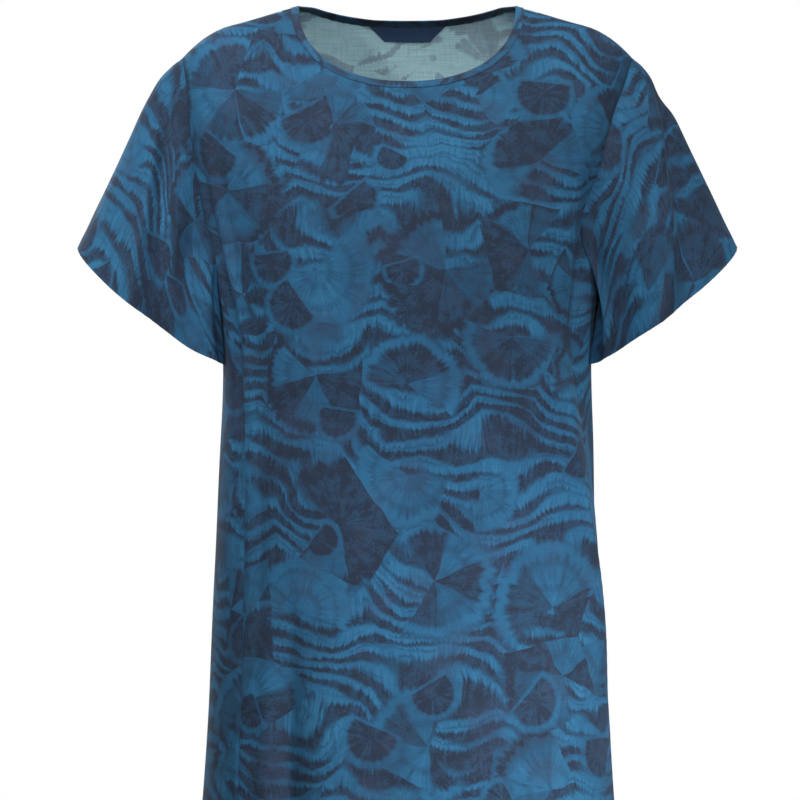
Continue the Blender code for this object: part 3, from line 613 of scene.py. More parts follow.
def buildPrintGroup():
    d = dyedPrint
    tree, given, result = newGroup(
        "dyedPrint",
        [("Vector", "NodeSocketVector", None), ("Seed", "NodeSocketFloat", 0.0)],
        [("Color", "NodeSocketColor"), ("Tone", "NodeSocketFloat")],
    )
    shift = addNode(tree, "ShaderNodeCombineXYZ", {"X": given["Seed"], "Y": given["Seed"]}).outputs[0]
    plain = vectorCalc(tree, "ADD", given["Vector"], shift)

    def plus(*values):
        total = values[0]
        for value in values[1:]:
            total = calc(tree, "ADD", total, value)
        return total

    def times(a, b):
        return calc(tree, "MULTIPLY", a, b)

    def minus(a, b):
        return calc(tree, "SUBTRACT", a, b)

    def over(a, b):
        return calc(tree, "DIVIDE", a, b)

    def sine(value):
        return calc(tree, "SINE", value)

    # A share from -strength/2 to +strength/2 that wanders over the cloth
    def wander(vector, scale, strength, detail=1.0, kind="2D"):
        return times(minus(noiseAt(tree, vector, scale, detail, kind).outputs[0], 0.5), strength)

    def warpedBy(size, strength, vector):
        colour = noiseAt(tree, vector, 1 / size).outputs["Color"]
        centred = vectorCalc(tree, "SUBTRACT", colour, (0.5, 0.5, 0.5))
        away = vectorCalc(tree, "SCALE", centred, scale=strength)
        return vectorCalc(tree, "MULTIPLY", vectorCalc(tree, "ADD", vector, away), (1, 1, 0))

    def split(vector):
        return addNode(tree, "ShaderNodeSeparateXYZ", {"Vector": vector}).outputs

    # Scattered cells: the way out from a cell's middle, its distance, the cell's chances and its colour
    def scattered(vector, spacing, scatter):
        cells = addNode(
            tree,
            "ShaderNodeTexVoronoi",
            {"Vector": vector, "Scale": 1 / spacing, "Randomness": scatter},
            voronoi_dimensions="2D",
        ).outputs
        local = vectorCalc(tree, "SUBTRACT", vector, cells["Position"])
        chances = addNode(tree, "ShaderNodeSeparateColor", {"Color": cells["Color"]}).outputs
        return local, vectorCalc(tree, "LENGTH", local), chances, cells["Color"]

    # Fine rays: noise round a circle, drawn out along the radius
    def raysOf(local, radius, cell, count, drawnOut):
        outwards = addNode(tree, "ShaderNodeCombineXYZ", {"Z": times(radius, drawnOut)}).outputs[0]
        way = vectorCalc(tree, "SCALE", vectorCalc(tree, "NORMALIZE", local), scale=count)
        ownPlace = vectorCalc(tree, "SCALE", cell, scale=37.0)
        place = vectorCalc(tree, "ADD", vectorCalc(tree, "ADD", way, outwards), ownPlace)
        return minus(noiseAt(tree, place, 1.0, 1.0, "3D").outputs[0], 0.5)

    gentle = warpedBy(*d["smallWarp"], plain)
    fan, fanReach, fanChance, fanCell = scattered(gentle, d["fanSpacing"], d["fanScatter"])
    fanRays = raysOf(fan, fanReach, fanCell, *d["fanRays"])

    # Bands run across, bend round the fans and thin out to points
    def bandTone():
        spot = split(warpedBy(*d["bandWarp"], gentle))
        swayed = plus(split(plain)["X"], wander(plain, 30.0, d["combSway"]))
        values = {"X": over(swayed, d["combWidth"]), "Y": times(spot["Y"], d["combPerMetre"])}
        combPlace = addNode(tree, "ShaderNodeCombineXYZ", values).outputs[0]
        comb = minus(noiseAt(tree, combPlace, 1.0, 1.0).outputs[0], 0.5)
        hug = times(smoothStep(tree, fanReach, *d["bandHugReach"]), d["bandHug"])
        phase = plus(over(plus(spot["Y"], times(spot["X"], d["bandSlant"])), d["bandWidth"]), hug)
        phase = plus(phase, times(comb, d["combShake"]))
        wave = sine(times(phase, 2 * math.pi))
        limit = plus(wander(plain, 15.0, 4.4), 0.05)
        bands = blend(tree, smoothStep(tree, minus(wave, limit), *d["bandEdge"]), *d["bandTones"])
        fine = sine(plus(times(phase, d["finePhase"] * 2 * math.pi), wander(plain, 40.0, 7.0)))
        here = smoothStep(tree, noiseAt(tree, plain, 22.0).outputs[0], 0.42, 0.60)
        fine = times(smoothStep(tree, fine, 0.2, 0.9), here)
        bands = times(bands, minus(1.0, times(fine, d["fineDepth"])))
        return plus(bands, times(comb, bands), times(comb, 0.10))

    # How much dye a wedge of a fan took: it depends on the fan and on the wedge's number
    def wedgeDye(number):
        mark = {"W": plus(number, times(fanChance["Blue"], 91.0))}
        chance = addNode(tree, "ShaderNodeTexWhiteNoise", mark, noise_dimensions="1D").outputs["Value"]
        dyed = blend(tree, chance, *d["wedgeTones"])
        return blend(tree, smoothStep(tree, chance, 0.24, 0.66), 0.10, dyed)

    # Fans: a few wedges of each take the dye, under a scalloped rim
    def withFans(tone):
        fanSize = blend(tree, fanChance["Red"], *d["fanRadius"])
        ragged = plus(over(fanReach, fanSize), times(fanRays, d["fanRagged"]))
        ways = split(fan)
        turn = over(calc(tree, "ARCTAN2", ways["Y"], ways["X"]), 2 * math.pi)
        turn = plus(turn, times(fanRays, 0.035), fanChance["Green"])
        sector = times(calc(tree, "FRACT", turn), d["fanWedges"])
        wedge = calc(tree, "FLOOR", sector)
        share = smoothStep(tree, minus(sector, wedge), 0.84, 1.0)
        wedgeTone = blend(tree, share, wedgeDye(wedge), wedgeDye(plus(wedge, 1.0)))
        fanTone = plus(wedgeTone, times(fanRays, wedgeTone), times(fanRays, 0.16))
        rings = sine(plus(times(ragged, 17.0), times(fanChance["Green"], 30.0)))
        fanTone = times(fanTone, minus(1.0, times(smoothStep(tree, rings, 0.1, 1.0), 0.30)))
        rim = smoothStep(tree, calc(tree, "ABSOLUTE", minus(ragged, d["rimPlace"])), *d["rimWidth"])
        rimTone = blend(tree, smoothStep(tree, fanChance["Blue"], 0.35, 0.5), *d["rimTones"])
        fanTone = blend(tree, rim, fanTone, rimTone)
        opening = calc(tree, "FRACT", plus(turn, fanChance["Blue"]))
        widest = blend(tree, fanChance["Red"], *d["fanOpening"])
        kept = smoothStep(tree, minus(opening, widest), 0.04, -0.03)
        inFan = times(smoothStep(tree, ragged, *d["fanEdge"]), kept)
        inFan = times(inFan, smoothStep(tree, fanChance["Green"], 0.12, 0.16))
        return blend(tree, inFan, tone, fanTone)

    # Half rounds: dark bowls with a pale edge
    def withRounds(tone):
        warped = warpedBy(*d["roundWarp"], plain)
        half, halfReach, halfChance, halfCell = scattered(warped, d["roundSpacing"], 1.0)
        halfRays = raysOf(half, halfReach, halfCell, *d["roundRays"])
        halfSize = blend(tree, halfChance["Red"], *d["roundRadius"])
        tilt = times(minus(halfChance["Green"], 0.5), d["roundTilt"])
        halfWays = split(half)
        above = plus(times(halfWays["Y"], calc(tree, "COSINE", tilt)), times(halfWays["X"], sine(tilt)))
        pastFlatSide = over(above, times(halfSize, d["roundFlatSide"]))
        bowl = calc(tree, "MAXIMUM", over(halfReach, halfSize), pastFlatSide)
        bowl = plus(bowl, times(halfRays, 0.12))
        shown = smoothStep(tree, halfChance["Blue"], 0.56, 0.58)
        edge = times(smoothStep(tree, bowl, *d["roundEdge"]), shown)
        tone = blend(tree, times(edge, 0.75), tone, plus(d["roundEdgeTone"], times(halfRays, 0.5)))
        core = times(smoothStep(tree, bowl, *d["roundCore"]), shown)
        return blend(tree, core, tone, plus(d["roundCoreTone"], times(halfRays, 0.34)))

    # Uneven dye: fine speckle and soft clouds
    tone = withRounds(withFans(bandTone()))
    tone = plus(tone, wander(plain, *d["speckle"], 2.0), wander(gentle, *d["clouds"], 3.0))
    tone = times(tone, plus(0.34, times(noiseAt(tree, plain, 13.0, 2.0).outputs[0], 1.16)))
    ramp = addNode(tree, "ShaderNodeValToRGB", {"Fac": tone})
    stops = ramp.color_ramp.elements
    for stop, (position, colour) in zip((stops[0], stops[1]), (d["stops"][0], d["stops"][-1])):
        stop.position = position
        stop.color = colour
    for position, colour in d["stops"][1:-1]:
        stops.new(position).color = colour
    # A violet cast here and there
    tint = smoothStep(tree, noiseAt(tree, plain, 19.0, 2.0).outputs[0], 0.50, 0.72)
    colour = blendColours(tree, times(tint, d["violetShare"]), ramp.outputs[0], d["violet"])
    tree.links.new(colour, result["Color"])
    tree.links.new(tone, result["Tone"])
    return tree


# Plain weave with uneven threads: a height for bump and a shade for colour
weave = {"pitch": 0.00055, "slubLength": 0.030, "slubWidth": 0.0011, "warpShare": 0.35}


def buildWeaveGroup():
    tree, given, result = newGroup(
        "plainWeave",
        [("Vector", "NodeSocketVector", None)],
        [("Height", "NodeSocketFloat"), ("Slub", "NodeSocketFloat")],
    )
    spot = addNode(tree, "ShaderNodeSeparateXYZ", {"Vector": given["Vector"]}).outputs
    across = calc(tree, "SINE", calc(tree, "MULTIPLY", spot["X"], math.pi / weave["pitch"]))
    down = calc(tree, "SINE", calc(tree, "MULTIPLY", spot["Y"], math.pi / weave["pitch"]))
    over = smoothStep(tree, calc(tree, "MULTIPLY", across, down), -0.15, 0.15)
    threads = blend(tree, over, calc(tree, "ABSOLUTE", across), calc(tree, "ABSOLUTE", down))
    long, thin = 1 / weave["slubLength"], 1 / weave["slubWidth"]
    rows = vectorCalc(tree, "MULTIPLY", given["Vector"], (long, thin, 0))
    uprights = vectorCalc(tree, "MULTIPLY", given["Vector"], (thin, long, 0))
    weftSlub = noiseAt(tree, rows, 1.0, 2.0).outputs[0]
    warpSlub = noiseAt(tree, uprights, 1.0, 2.0).outputs[0]
    slubs = blend(tree, weave["warpShare"], weftSlub, warpSlub)
    height = calc(tree, "ADD", calc(tree, "MULTIPLY", threads, 0.5), slubs)
    tree.links.new(height, result["Height"])
    tree.links.new(slubs, result["Slub"])
    return tree


printGroup = buildPrintGroup()
weaveGroup = buildWeaveGroup()


def newMaterial(name):
    made = bpy.data.materials.new(name)
    made.use_nodes = True
    return made, made.node_tree, made.node_tree.nodes["Principled BSDF"].inputs


# The printed viscose. The outside takes the full print, the inside only a faint ghost of it.
printedCloth = {
    "seed": 3.37,
    "surface": {
        "Roughness": 0.82,
        "Sheen Weight": 0.07,
        "Sheen Roughness": 0.45,
        "Sheen Tint": (0.50, 0.70, 0.90, 1),
        "Specular IOR Level": 0.25,
    },
    "slubShade": 0.34,
    "bump": 0.22,
    "bumpDistance": 0.00016,
}
clothInside = {
    "ground": (0.560, 0.850, 0.920, 1),
    "ghost": (0.270, 0.350, 0.440, 1),
    "ghostTones": (0.02, 0.50),
    "ghostStrength": 0.72,
    "slubShade": 0.80,
}


# The shared print or weave, laid on the cloth by its flat pattern
def groupNode(tree, group, values):
    return addNode(tree, "ShaderNodeGroup", values, node_tree=group).outputs


def setValues(shader, values):
    for name, value in values.items():
        shader[name].default_value = value


def addBump(tree, shader, strength, distance, height):
    values = {"Strength": strength, "Distance": distance, "Height": height}
    tree.links.new(addNode(tree, "ShaderNodeBump", values).outputs[0], shader["Normal"])


def clothFinish(name, inside):
    made, tree, shader = newMaterial(name)
    p = printedCloth
    place = addNode(tree, "ShaderNodeUVMap", uv_map="flatPattern").outputs[0]
    dye = groupNode(tree, printGroup, {"Vector": place, "Seed": p["seed"]})
    threads = groupNode(tree, weaveGroup, {"Vector": place})
    shade = calc(tree, "SUBTRACT", threads["Slub"], 0.5)
    if inside:
        ghost = calc(tree, "SUBTRACT", 1.0, smoothStep(tree, dye["Tone"], *clothInside["ghostTones"]))
        ghost = calc(tree, "MULTIPLY", ghost, clothInside["ghostStrength"])
        colour = blendColours(tree, ghost, clothInside["ground"], clothInside["ghost"])
        strength = clothInside["slubShade"]
    else:
        colour = dye["Color"]
        strength = p["slubShade"]
    lightness = calc(tree, "ADD", 1.0, calc(tree, "MULTIPLY", shade, strength))
    colour = vectorCalc(tree, "SCALE", colour, scale=lightness)
    tree.links.new(colour, shader["Base Color"])
    setValues(shader, p["surface"])
    addBump(tree, shader, p["bump"], p["bumpDistance"], threads["Height"])
    return made


outsideCloth = clothFinish("printedClothOutside", False)
insideCloth = clothFinish("printedClothInside", True)
print("materials ready")

# Grid of a body panel. Rows and columns crowd towards the seams and the hem.
panelGrid = {
    "strapColumns": 24,
    "strapColumnPower": 1.8,
    "neckColumns": 100,
    "strapRows": 30,
    "strapRowPower": 1.4,
    "armholeRowPower": 1.7,
    "neckRowPower": 1.25,
    "strapEndLevel": 0.36,
    "strapNeckShare": 0.46,
    "strapFootShare": 0.14,
    "chestRows": 32,
    "chestRowPower": 1.3,
    "skirtRows": 84,
    "hemRows": 12,
    "hemRowStep": 0.0016,
    "underarmDip": 0.22,
    "dipWidth": 0.27,
    "dipPower": 2.5,
    "relief": 0.0009,
    "reliefSize": 0.085,
    "reliefStart": 0.025,
    "reliefSeed": {True: 5, False: 11},
}


# The angle and level of each corner of a panel's grid, with nothing in the neck's notch
def panelPlaces(front):
    g = panelGrid
    strap, neck = g["strapColumns"], g["neckColumns"]
    columns = 2 * strap + neck
    strapRows, chestRows = g["strapRows"], g["chestRows"]
    skirtRows = g["skirtRows"] + g["hemRows"]
    rows = strapRows + chestRows + skirtRows
    firstSide = -1 if front else 1
    neckLength = necklines[front]["length"][-1]
    strapLength = neckLength * g["strapNeckShare"]
    angle = np.full((rows + 1, columns + 1), np.nan)
    level = np.full((rows + 1, columns + 1), np.nan)

    def turned(value):
        return value if front else value % 360

    shares = (np.arange(strapRows + 1) / strapRows) ** g["strapRowPower"]
    armShares = armholeShare(shares ** g["armholeRowPower"] * g["strapEndLevel"])
    fromSeam = (np.arange(strap + 1) / strap) ** g["strapColumnPower"]
    neckAngle, neckLevel = necklinePlace(shares ** g["neckRowPower"] * strapLength, front)
    for side in (firstSide, -firstSide):
        armAngle, armLevel = armholePlace(side, front, armShares)
        armAngle = turned(armAngle)[:, None]
        blockAngle = mix(armAngle, turned(neckAngle * side)[:, None], fromSeam)
        blockLevel = mix(armLevel[:, None], neckLevel[:, None], fromSeam)
        if side == firstSide:
            angle[: strapRows + 1, : strap + 1] = blockAngle
            level[: strapRows + 1, : strap + 1] = blockLevel
        else:
            angle[: strapRows + 1, columns - strap :] = blockAngle[:, ::-1]
            level[: strapRows + 1, columns - strap :] = blockLevel[:, ::-1]
    fromCentre = mix(firstSide, -firstSide, np.arange(1, neck) / neck) * (neckLength - strapLength)
    bottomAngle, bottomLevel = necklinePlace(neckLength - np.abs(fromCentre), front)
    angle[strapRows, strap + 1 : columns - strap] = turned(bottomAngle * np.where(fromCentre > 0, 1, -1))
    level[strapRows, strap + 1 : columns - strap] = bottomLevel

    j = np.arange(columns + 1)
    fromEdge = g["strapFootShare"] * np.minimum(j / strap, 1.0) ** g["strapColumnPower"]
    toEdge = 1 - g["strapFootShare"] * np.minimum((columns - j) / strap, 1.0) ** g["strapColumnPower"]
    middle = mix(g["strapFootShare"], 1 - g["strapFootShare"], (j - strap) / neck)
    across = np.where(j <= strap, fromEdge, np.where(j >= columns - strap, toEdge, middle))
    nearEdge = np.minimum(1.0, np.minimum(across, 1 - across) / g["dipWidth"])
    dip = g["underarmDip"] * (1 - (1 - nearEdge) ** g["dipPower"])

    def seamAngles(drop):
        right, left = rightSeam(drop), leftSeam(drop)
        return (right, left) if front else (left, right + 360)

    toSkirt = (form["underarmDrop"] - form["shoulderTipDrop"]) / (form["length"] - form["underarmDrop"])

    def belowUnderarm(value):
        return np.where(value > 1, 1 + (value - 1) * toSkirt, value)

    footFirst, footLast = seamAngles(form["underarmDrop"])
    footAngle = mix(footFirst, footLast, across)
    for step in range(1, chestRows + 1):
        share = 1 - (1 - step / chestRows) ** g["chestRowPower"]
        row = strapRows + step
        armShare = mix(armShares[-1], 1, share)
        rowAngle = mix(angle[strapRows], footAngle, share)
        rowLevel = mix(level[strapRows], 1 + dip, share)
        for edge, side, near in ((0, firstSide, 1 - across), (columns, -firstSide, across)):
            armAngle, armLevel = armholePlace(side, front, armShare)
            foot = footFirst if edge == 0 else footLast
            straightAngle = mix(angle[strapRows, edge], foot, share)
            straightLevel = mix(level[strapRows, edge], 1.0, share)
            rowAngle = rowAngle + (turned(armAngle) - straightAngle) * near**3
            rowLevel = rowLevel + (armLevel - straightLevel) * near**8
        angle[row] = rowAngle
        level[row] = belowUnderarm(rowLevel)
    hemShare = g["hemRows"] * g["hemRowStep"] / (form["length"] - form["underarmDrop"])
    plainRows = (1 - hemShare) * np.arange(1, g["skirtRows"] + 1) / g["skirtRows"]
    hemRows = 1 - hemShare * (1 - np.arange(1, g["hemRows"] + 1) / g["hemRows"])
    start = belowUnderarm(1 + dip)
    for step, share in enumerate(np.concatenate((plainRows, hemRows))):
        row = strapRows + chestRows + 1 + step
        first, last = seamAngles(mix(form["underarmDrop"], form["length"], share))
        angle[row] = mix(first, last, across)
        level[row] = mix(start, 2, share)
    return angle, level


# The grid of a panel with its sewing relief, its flat places and its walls
def panelPoints(front):
    g = panelGrid
    angle, level = panelPlaces(front)
    points = bodyPoints(angle, level)
    normals = gridNormals(points)
    normals[0, :, 1] = 0  # the two panels share the shoulder ridge
    normals = unit(normals)
    fromFirst = runLengths(points, 1)
    toLast = fromFirst[:, -1:] - fromFirst
    fromTop = runLengths(points, 0)
    toHem = fromTop[-1:] - fromTop
    strapOnly = np.where(np.isnan(points[0, :, 0]), 0, 1)[None, :]
    relief = np.minimum(seamRelief(fromFirst), seamRelief(toLast))
    relief = np.minimum(relief, seamRelief(fromTop) * strapOnly)
    # The seams run out level where they meet at the shoulder's tip
    fromTip = np.where(strapOnly > 0, np.hypot(np.minimum(fromFirst, toLast), fromTop), 1.0)
    relief = relief * ease(fromTip / sewing["tipReach"])
    relief = relief + hemRelief(toHem, fromFirst)
    fromSeams = np.minimum(np.minimum(fromFirst, toLast), np.where(strapOnly > 0, fromTop, 1.0))
    lively = g["relief"] * softNoise(points, g["reliefSize"], g["reliefSeed"][front])
    relief = relief + lively * ease(fromSeams / g["reliefStart"])
    walls = np.where(toHem < sewing["hemWidth"], sewing["hemWall"], sewing["wall"])
    points = points + normals * relief[..., None]
    return points, flatPattern(angle, level, front), walls


grids = {}
clothPieces = {}
for nodeName, front in (("front_panel", True), ("back_panel", False)):
    points, flat, walls = panelPoints(front)
    grids[nodeName] = points
    piece = addPiece(
        nodeName.replace("_panel", "PanelCloth"),
        clothMesh(points, flat, walls, False),
        (outsideCloth, insideCloth),
        nodeName,
    )
    clothPieces[nodeName] = piece
    print(piece.name, len(piece.data.polygons), "faces")

# The sleeves
sleeves = {
    "tip": (0.3125, 0.006, 0.228),
    "inner": (0.1640, -0.010, 0.3390),
    "frontBow": 0.0137,
    "backBow": 0.0060,
    "frontDepth": 0.062,
    "backDepth": 0.056,
    "crownWay": (0.869, 0, 0.494),
    "puff": 0.006,
    "puffWay": (0.4, -0.2),
    # How blunt the front crests are, in degrees, and the reach at which they are fully out
    "crestBlunt": 1.2,
    "crestStart": 0.3125,
    "bodyClearance": 0.0004,
    "softness": 0.0011,
    "seamSoftness": 0.0002,
    "seamAllowance": 0.004,
    "turnOver": 0.004,
    "columns": 132,
    "seamRows": 8,
    "rows": 34,
    "hemRows": 12,
    "seamEnd": 0.05,
    "hemStart": 0.90,
    "relief": 0.0008,
    "reliefSize": 0.060,
    "reliefStart": 0.02,
    "reliefFromUnderarm": 0.03,
    "reliefSeed": 23,
    # Where each sleeve is cut from the printed cloth
    "printPlace": {-1: (1.95, 0.10), 1: (1.80, -0.30)},
}
sleeveCrown = smoothCurve(
    (
        (0.00, 0.0000),
        (0.05, 0.0040),
        (0.15, 0.0078),
        (0.28, 0.0082),
        (0.45, 0.0066),
        (0.66, 0.0043),
        (1.00, 0.0000),
    )
)
# Creases along a sleeve. A turn runs round it from the crown (0) through the front to the underarm (180).
SleeveFold = namedtuple("SleeveFold", "side topTurn hemTurn topLift hemLift spread")
sleeveFolds = (
    SleeveFold(-1, 60, 82, 0.0030, 0.0055, 20),
    SleeveFold(-1, 100, 122, -0.0020, -0.0045, 22),
    SleeveFold(-1, 262, 280, 0.0020, 0.0050, 22),
    SleeveFold(1, 58, 99, 0.0035, 0.0070, 20),
    SleeveFold(1, 100, 138, -0.0025, -0.0055, 22),
    SleeveFold(1, 258, 276, 0.0020, 0.0050, 22),
    # Finer creases that the solids leave out
    SleeveFold(-1, 104, 120, -0.0060, -0.0100, 19),
    SleeveFold(-1, 138, 150, 0.0022, 0.0030, 9),
    SleeveFold(-1, 148, 156, -0.0050, -0.0060, 12),
    SleeveFold(1, 118, 126, -0.0030, -0.0055, 17),
    SleeveFold(1, 138, 148, 0.0024, 0.0030, 8),
    SleeveFold(1, 148, 154, -0.0050, -0.0060, 11),
)


# A sharp crest down each sleeve's front as (reach, turn), and how it falls off towards the crown and the
# underarm, in degrees. Beside it, on its shaded side, runs a trough.
sleeveCrests = {
    -1: {
        "line": ((0, 2), (0.125, 13.5), (0.245, 33.5), (0.405, 52.5), (0.66, 66.5), (1, 80)),
        "lift": 0.0080,
        "towardsCrown": 20,
        "towardsUnderarm": 8,
        "trough": -0.0085,
        "troughAway": 19,
        "troughSpread": 13,
    },
    1: {
        "line": ((0, 1), (0.11, 11), (0.225, 21.5), (0.42, 45), (0.61, 62), (0.805, 80), (1, 98)),
        "lift": 0.0085,
        "towardsCrown": 7,
        "towardsUnderarm": 24,
        "trough": -0.0060,
        "troughAway": -17,
        "troughSpread": 11,
    },
}


# How far the front crest and its trough lift a point of a sleeve
def crestLift(side, turn, reach):
    c = sleeveCrests[side]
    away = turnBetween(turn, smoothCurve(c["line"])(reach))
    fall = np.where(away < 0, c["towardsCrown"], c["towardsUnderarm"])
    ridge = np.exp(-(np.hypot(away, sleeves["crestBlunt"]) - sleeves["crestBlunt"]) / fall)
    trough = np.exp(-(((away - c["troughAway"]) / c["troughSpread"]) ** 2))
    return (c["lift"] * ridge + c["trough"] * trough) * ease(reach / sleeves["crestStart"])


# A sleeve's hem, a bowed ring slanting from its outer tip to the underarm
def sleeveHemPoints(side, turn):
    s = sleeves
    tip, inner = np.array(s["tip"]), np.array(s["inner"])
    radians = np.radians(turn)
    front = turn <= 180
    line = tip + (inner - tip) * ((1 - np.cos(radians)) / 2)[..., None]
    along = inner - tip
    outward = np.array((along[2], 0, -along[0])) / math.hypot(along[2], along[0])
    bulge = np.abs(np.sin(radians))
    line = line + outward * (bulge * np.where(front, s["frontBow"], s["backBow"]))[..., None]
    depth = np.where(front, -s["frontDepth"], s["backDepth"])
    x, y, drop = line[..., 0] * side, line[..., 1] + depth * bulge, line[..., 2]
    return np.stack((x, y, form["neckPointHeight"] - drop), -1)


# The angle and level on the body of each turn round an armhole
def armholeRound(side, turn):
    share = np.where(turn <= 180, turn / 180, (360 - turn) / 180)
    frontAngle, level = armholePlace(side, True, share)
    backAngle, _ = armholePlace(side, False, share)
    return np.where(turn <= 180, frontAngle, backAngle), level


# Which way the body's cloth faces along an armhole
def armholeNormals(side, turn):
    angle, level = armholeRound(side, turn)
    level = np.clip(level, 0.004, 0.996)
    acrossStep = bodyPoints(angle + 0.3, level) - bodyPoints(angle - 0.3, level)
    downStep = bodyPoints(angle, level + 0.003) - bodyPoints(angle, level - 0.003)
    return unit(np.cross(downStep, acrossStep))


# The point of the body at an angle and a drop
def bodyAtDrop(angle, drop):
    ridge = shoulderLine(form["shoulderHalfWidth"] * np.abs(ringShares(angle, form["yokeCorner"])[0]))
    yokeLevel = np.maximum(0.0, (drop - ridge) / (form["underarmDrop"] - ridge))
    skirtLevel = 1 + (drop - form["underarmDrop"]) / (form["length"] - form["underarmDrop"])
    level = np.where(drop >= form["underarmDrop"], skirtLevel, np.minimum(yokeLevel, 0.9999))
    return bodyPoints(angle, level)


# Moves points out to their clearance from the body, easing the bend this makes
def clearOfBody(points, clearance, softness):
    x, y, z = points[..., 0], points[..., 1], points[..., 2]
    drop = form["neckPointHeight"] - z
    direction = np.degrees(np.arctan2(x, -y))
    low = np.where(direction > 0, 0.0, -180.0)
    high = np.where(direction > 0, 180.0, 0.0)
    for _ in range(18):
        middle = (low + high) / 2
        spot = bodyAtDrop(middle, drop)
        less = np.degrees(np.arctan2(spot[..., 0], -spot[..., 1])) < direction
        low = np.where(less, middle, low)
        high = np.where(less, high, middle)
    spot = bodyAtDrop((low + high) / 2, drop)
    bodyReach = np.hypot(spot[..., 0], spot[..., 1]) + clearance
    reach = np.hypot(x, y)
    beyond = (reach - bodyReach) / softness
    eased = bodyReach + softness * np.log1p(np.exp(np.minimum(beyond, 30)))
    share = np.where(beyond > 12, 1.0, eased / reach)
    return np.stack((x * share, y * share, z), -1)


# A sleeve's form before its folds: straight lines from armhole to hem, rounded over the crown
def sleeveBase(side, turn, reach):
    s = sleeves
    start = bodyPoints(*armholeRound(side, turn))
    points = mix(start, sleeveHemPoints(side, turn), reach[..., None])
    half = np.where(turn <= 180, turn, 360 - turn) / 2
    top = np.cos(np.radians(half)) ** 4
    crown = np.array(s["crownWay"]) * (side, 1, 1) * (sleeveCrown(reach) * top)[..., None]
    puffShare = np.sin(math.pi * reach) * np.sin(np.radians(turn)) ** 2
    facing = np.where(turn <= 180, -1.0, 1.0)
    sideways, down = (np.full_like(reach, value) for value in s["puffWay"])
    puff = unit(np.stack((sideways * side, facing, down), -1))
    return points + crown + puff * (s["puff"] * puffShare)[..., None]


# A sleeve's outer face with its folds and its front crest
def sleevePoints(side, turn, reach):
    step = 0.5
    points = sleeveBase(side, turn, reach)
    roundIt = sleeveBase(side, (turn + step) % 360, reach) - sleeveBase(side, (turn - step) % 360, reach)
    near = np.clip(reach, 0.02, 0.98)
    along = sleeveBase(side, turn, near + 0.02) - sleeveBase(side, turn, near - 0.02)
    normal = unit(np.cross(along, roundIt) * -side)
    normal[..., 2] *= 1 - 0.8 * ease(reach * 1.2)  # keeps the hem's line even
    normal = unit(normal)
    total = np.zeros_like(reach)
    for fold in sleeveFolds:
        if fold.side == side:
            centre = mix(fold.topTurn, fold.hemTurn, reach)
            lift = mix(fold.topLift, fold.hemLift, reach) * ease(reach * 5)
            away = turnBetween(turn, centre)
            total += lift * np.exp(-((away / fold.spread) ** 2))
    total += crestLift(side, turn, reach)
    grown = ease(reach * 3)
    clearance = sleeves["bodyClearance"] * grown
    softness = mix(sleeves["seamSoftness"], sleeves["softness"], grown)
    return clearOfBody(points + normal * total[..., None], clearance, softness)


# The grid of a sleeve from its seam allowance to its hem, its flat places and its walls
def sleeveParts(side):
    s = sleeves
    seamReach = s["seamEnd"] * (np.arange(s["seamRows"]) / s["seamRows"]) ** 1.9
    middleReach = np.linspace(s["seamEnd"], s["hemStart"] - 0.01, s["rows"])
    hemReach = np.linspace(s["hemStart"], 1.0, s["hemRows"])
    reach = np.concatenate((seamReach, middleReach, hemReach))[:, None]
    fromCrown = np.abs(np.linspace(-1, 1, s["columns"] + 1))[None, :]
    turn = 180 * mix(fromCrown**1.7, fromCrown, ease(reach * 1.4))
    towardsFront = (np.arange(s["columns"] + 1) < s["columns"] / 2) == (side > 0)
    turn = np.where(towardsFront, turn, (360 - turn) % 360)
    turn, reach = np.broadcast_arrays(turn, reach)
    points = sleevePoints(side, turn, reach)
    fromSeam = runLengths(points, 0)
    # At the seam the cloth faces the way the body does, and turns to its own way a little further on
    bodyFacing = armholeNormals(side, turn[:1])
    normals = unit(mix(bodyFacing, gridNormals(points), ease(fromSeam / s["turnOver"])[..., None]))
    toHem = fromSeam[-1:] - fromSeam
    roundIt = runLengths(points, 1)
    fromMiddle = roundIt - roundIt[:, s["columns"] // 2][:, None]
    fromTip = np.hypot(fromMiddle, fromSeam)
    relief = seamRelief(fromSeam) * ease(fromTip / sewing["tipReach"]) + hemRelief(toHem, roundIt)
    underarm = np.minimum(roundIt, roundIt[:, -1:] - roundIt)
    relief = relief + seamRelief(underarm)
    lively = s["relief"] * softNoise(points, s["reliefSize"], s["reliefSeed"] + side)
    lively = lively * ease(fromSeam / s["reliefStart"]) * ease(underarm / s["reliefFromUnderarm"])
    relief = relief + lively
    walls = np.where(toHem < sewing["hemWidth"], sewing["hemWall"], sewing["wall"])
    flat = np.stack((fromMiddle, -fromSeam), -1) + s["printPlace"][side]
    points = points + normals * relief[..., None]
    # The seam allowance, turned inwards, and towards the neck at the shoulder
    depths = s["seamAllowance"] * np.array((1.0, 0.5))[:, None, None]
    nearTip = (np.cos(np.radians(turn[:1]) / 2) ** 40)[..., None]
    inwards = unit(bodyFacing + nearTip * (side, 0, 0))
    points = np.concatenate((points[:1] - inwards * depths, points))
    walls = np.concatenate((walls[:1], walls[:1], walls))
    flat = np.concatenate((flat[:1] + (0, 1) * depths, flat))
    return points, flat, walls


for nodeName, side in (("sleeve_right", -1), ("sleeve_left", 1)):
    points, flat, walls = sleeveParts(side)
    piece = addPiece(
        "rightSleeveCloth" if side < 0 else "leftSleeveCloth",
        clothMesh(points, flat, walls, True),
        (outsideCloth, insideCloth),
        nodeName,
    )
    clothPieces[nodeName] = piece
    print(piece.name, len(piece.data.polygons), "faces")
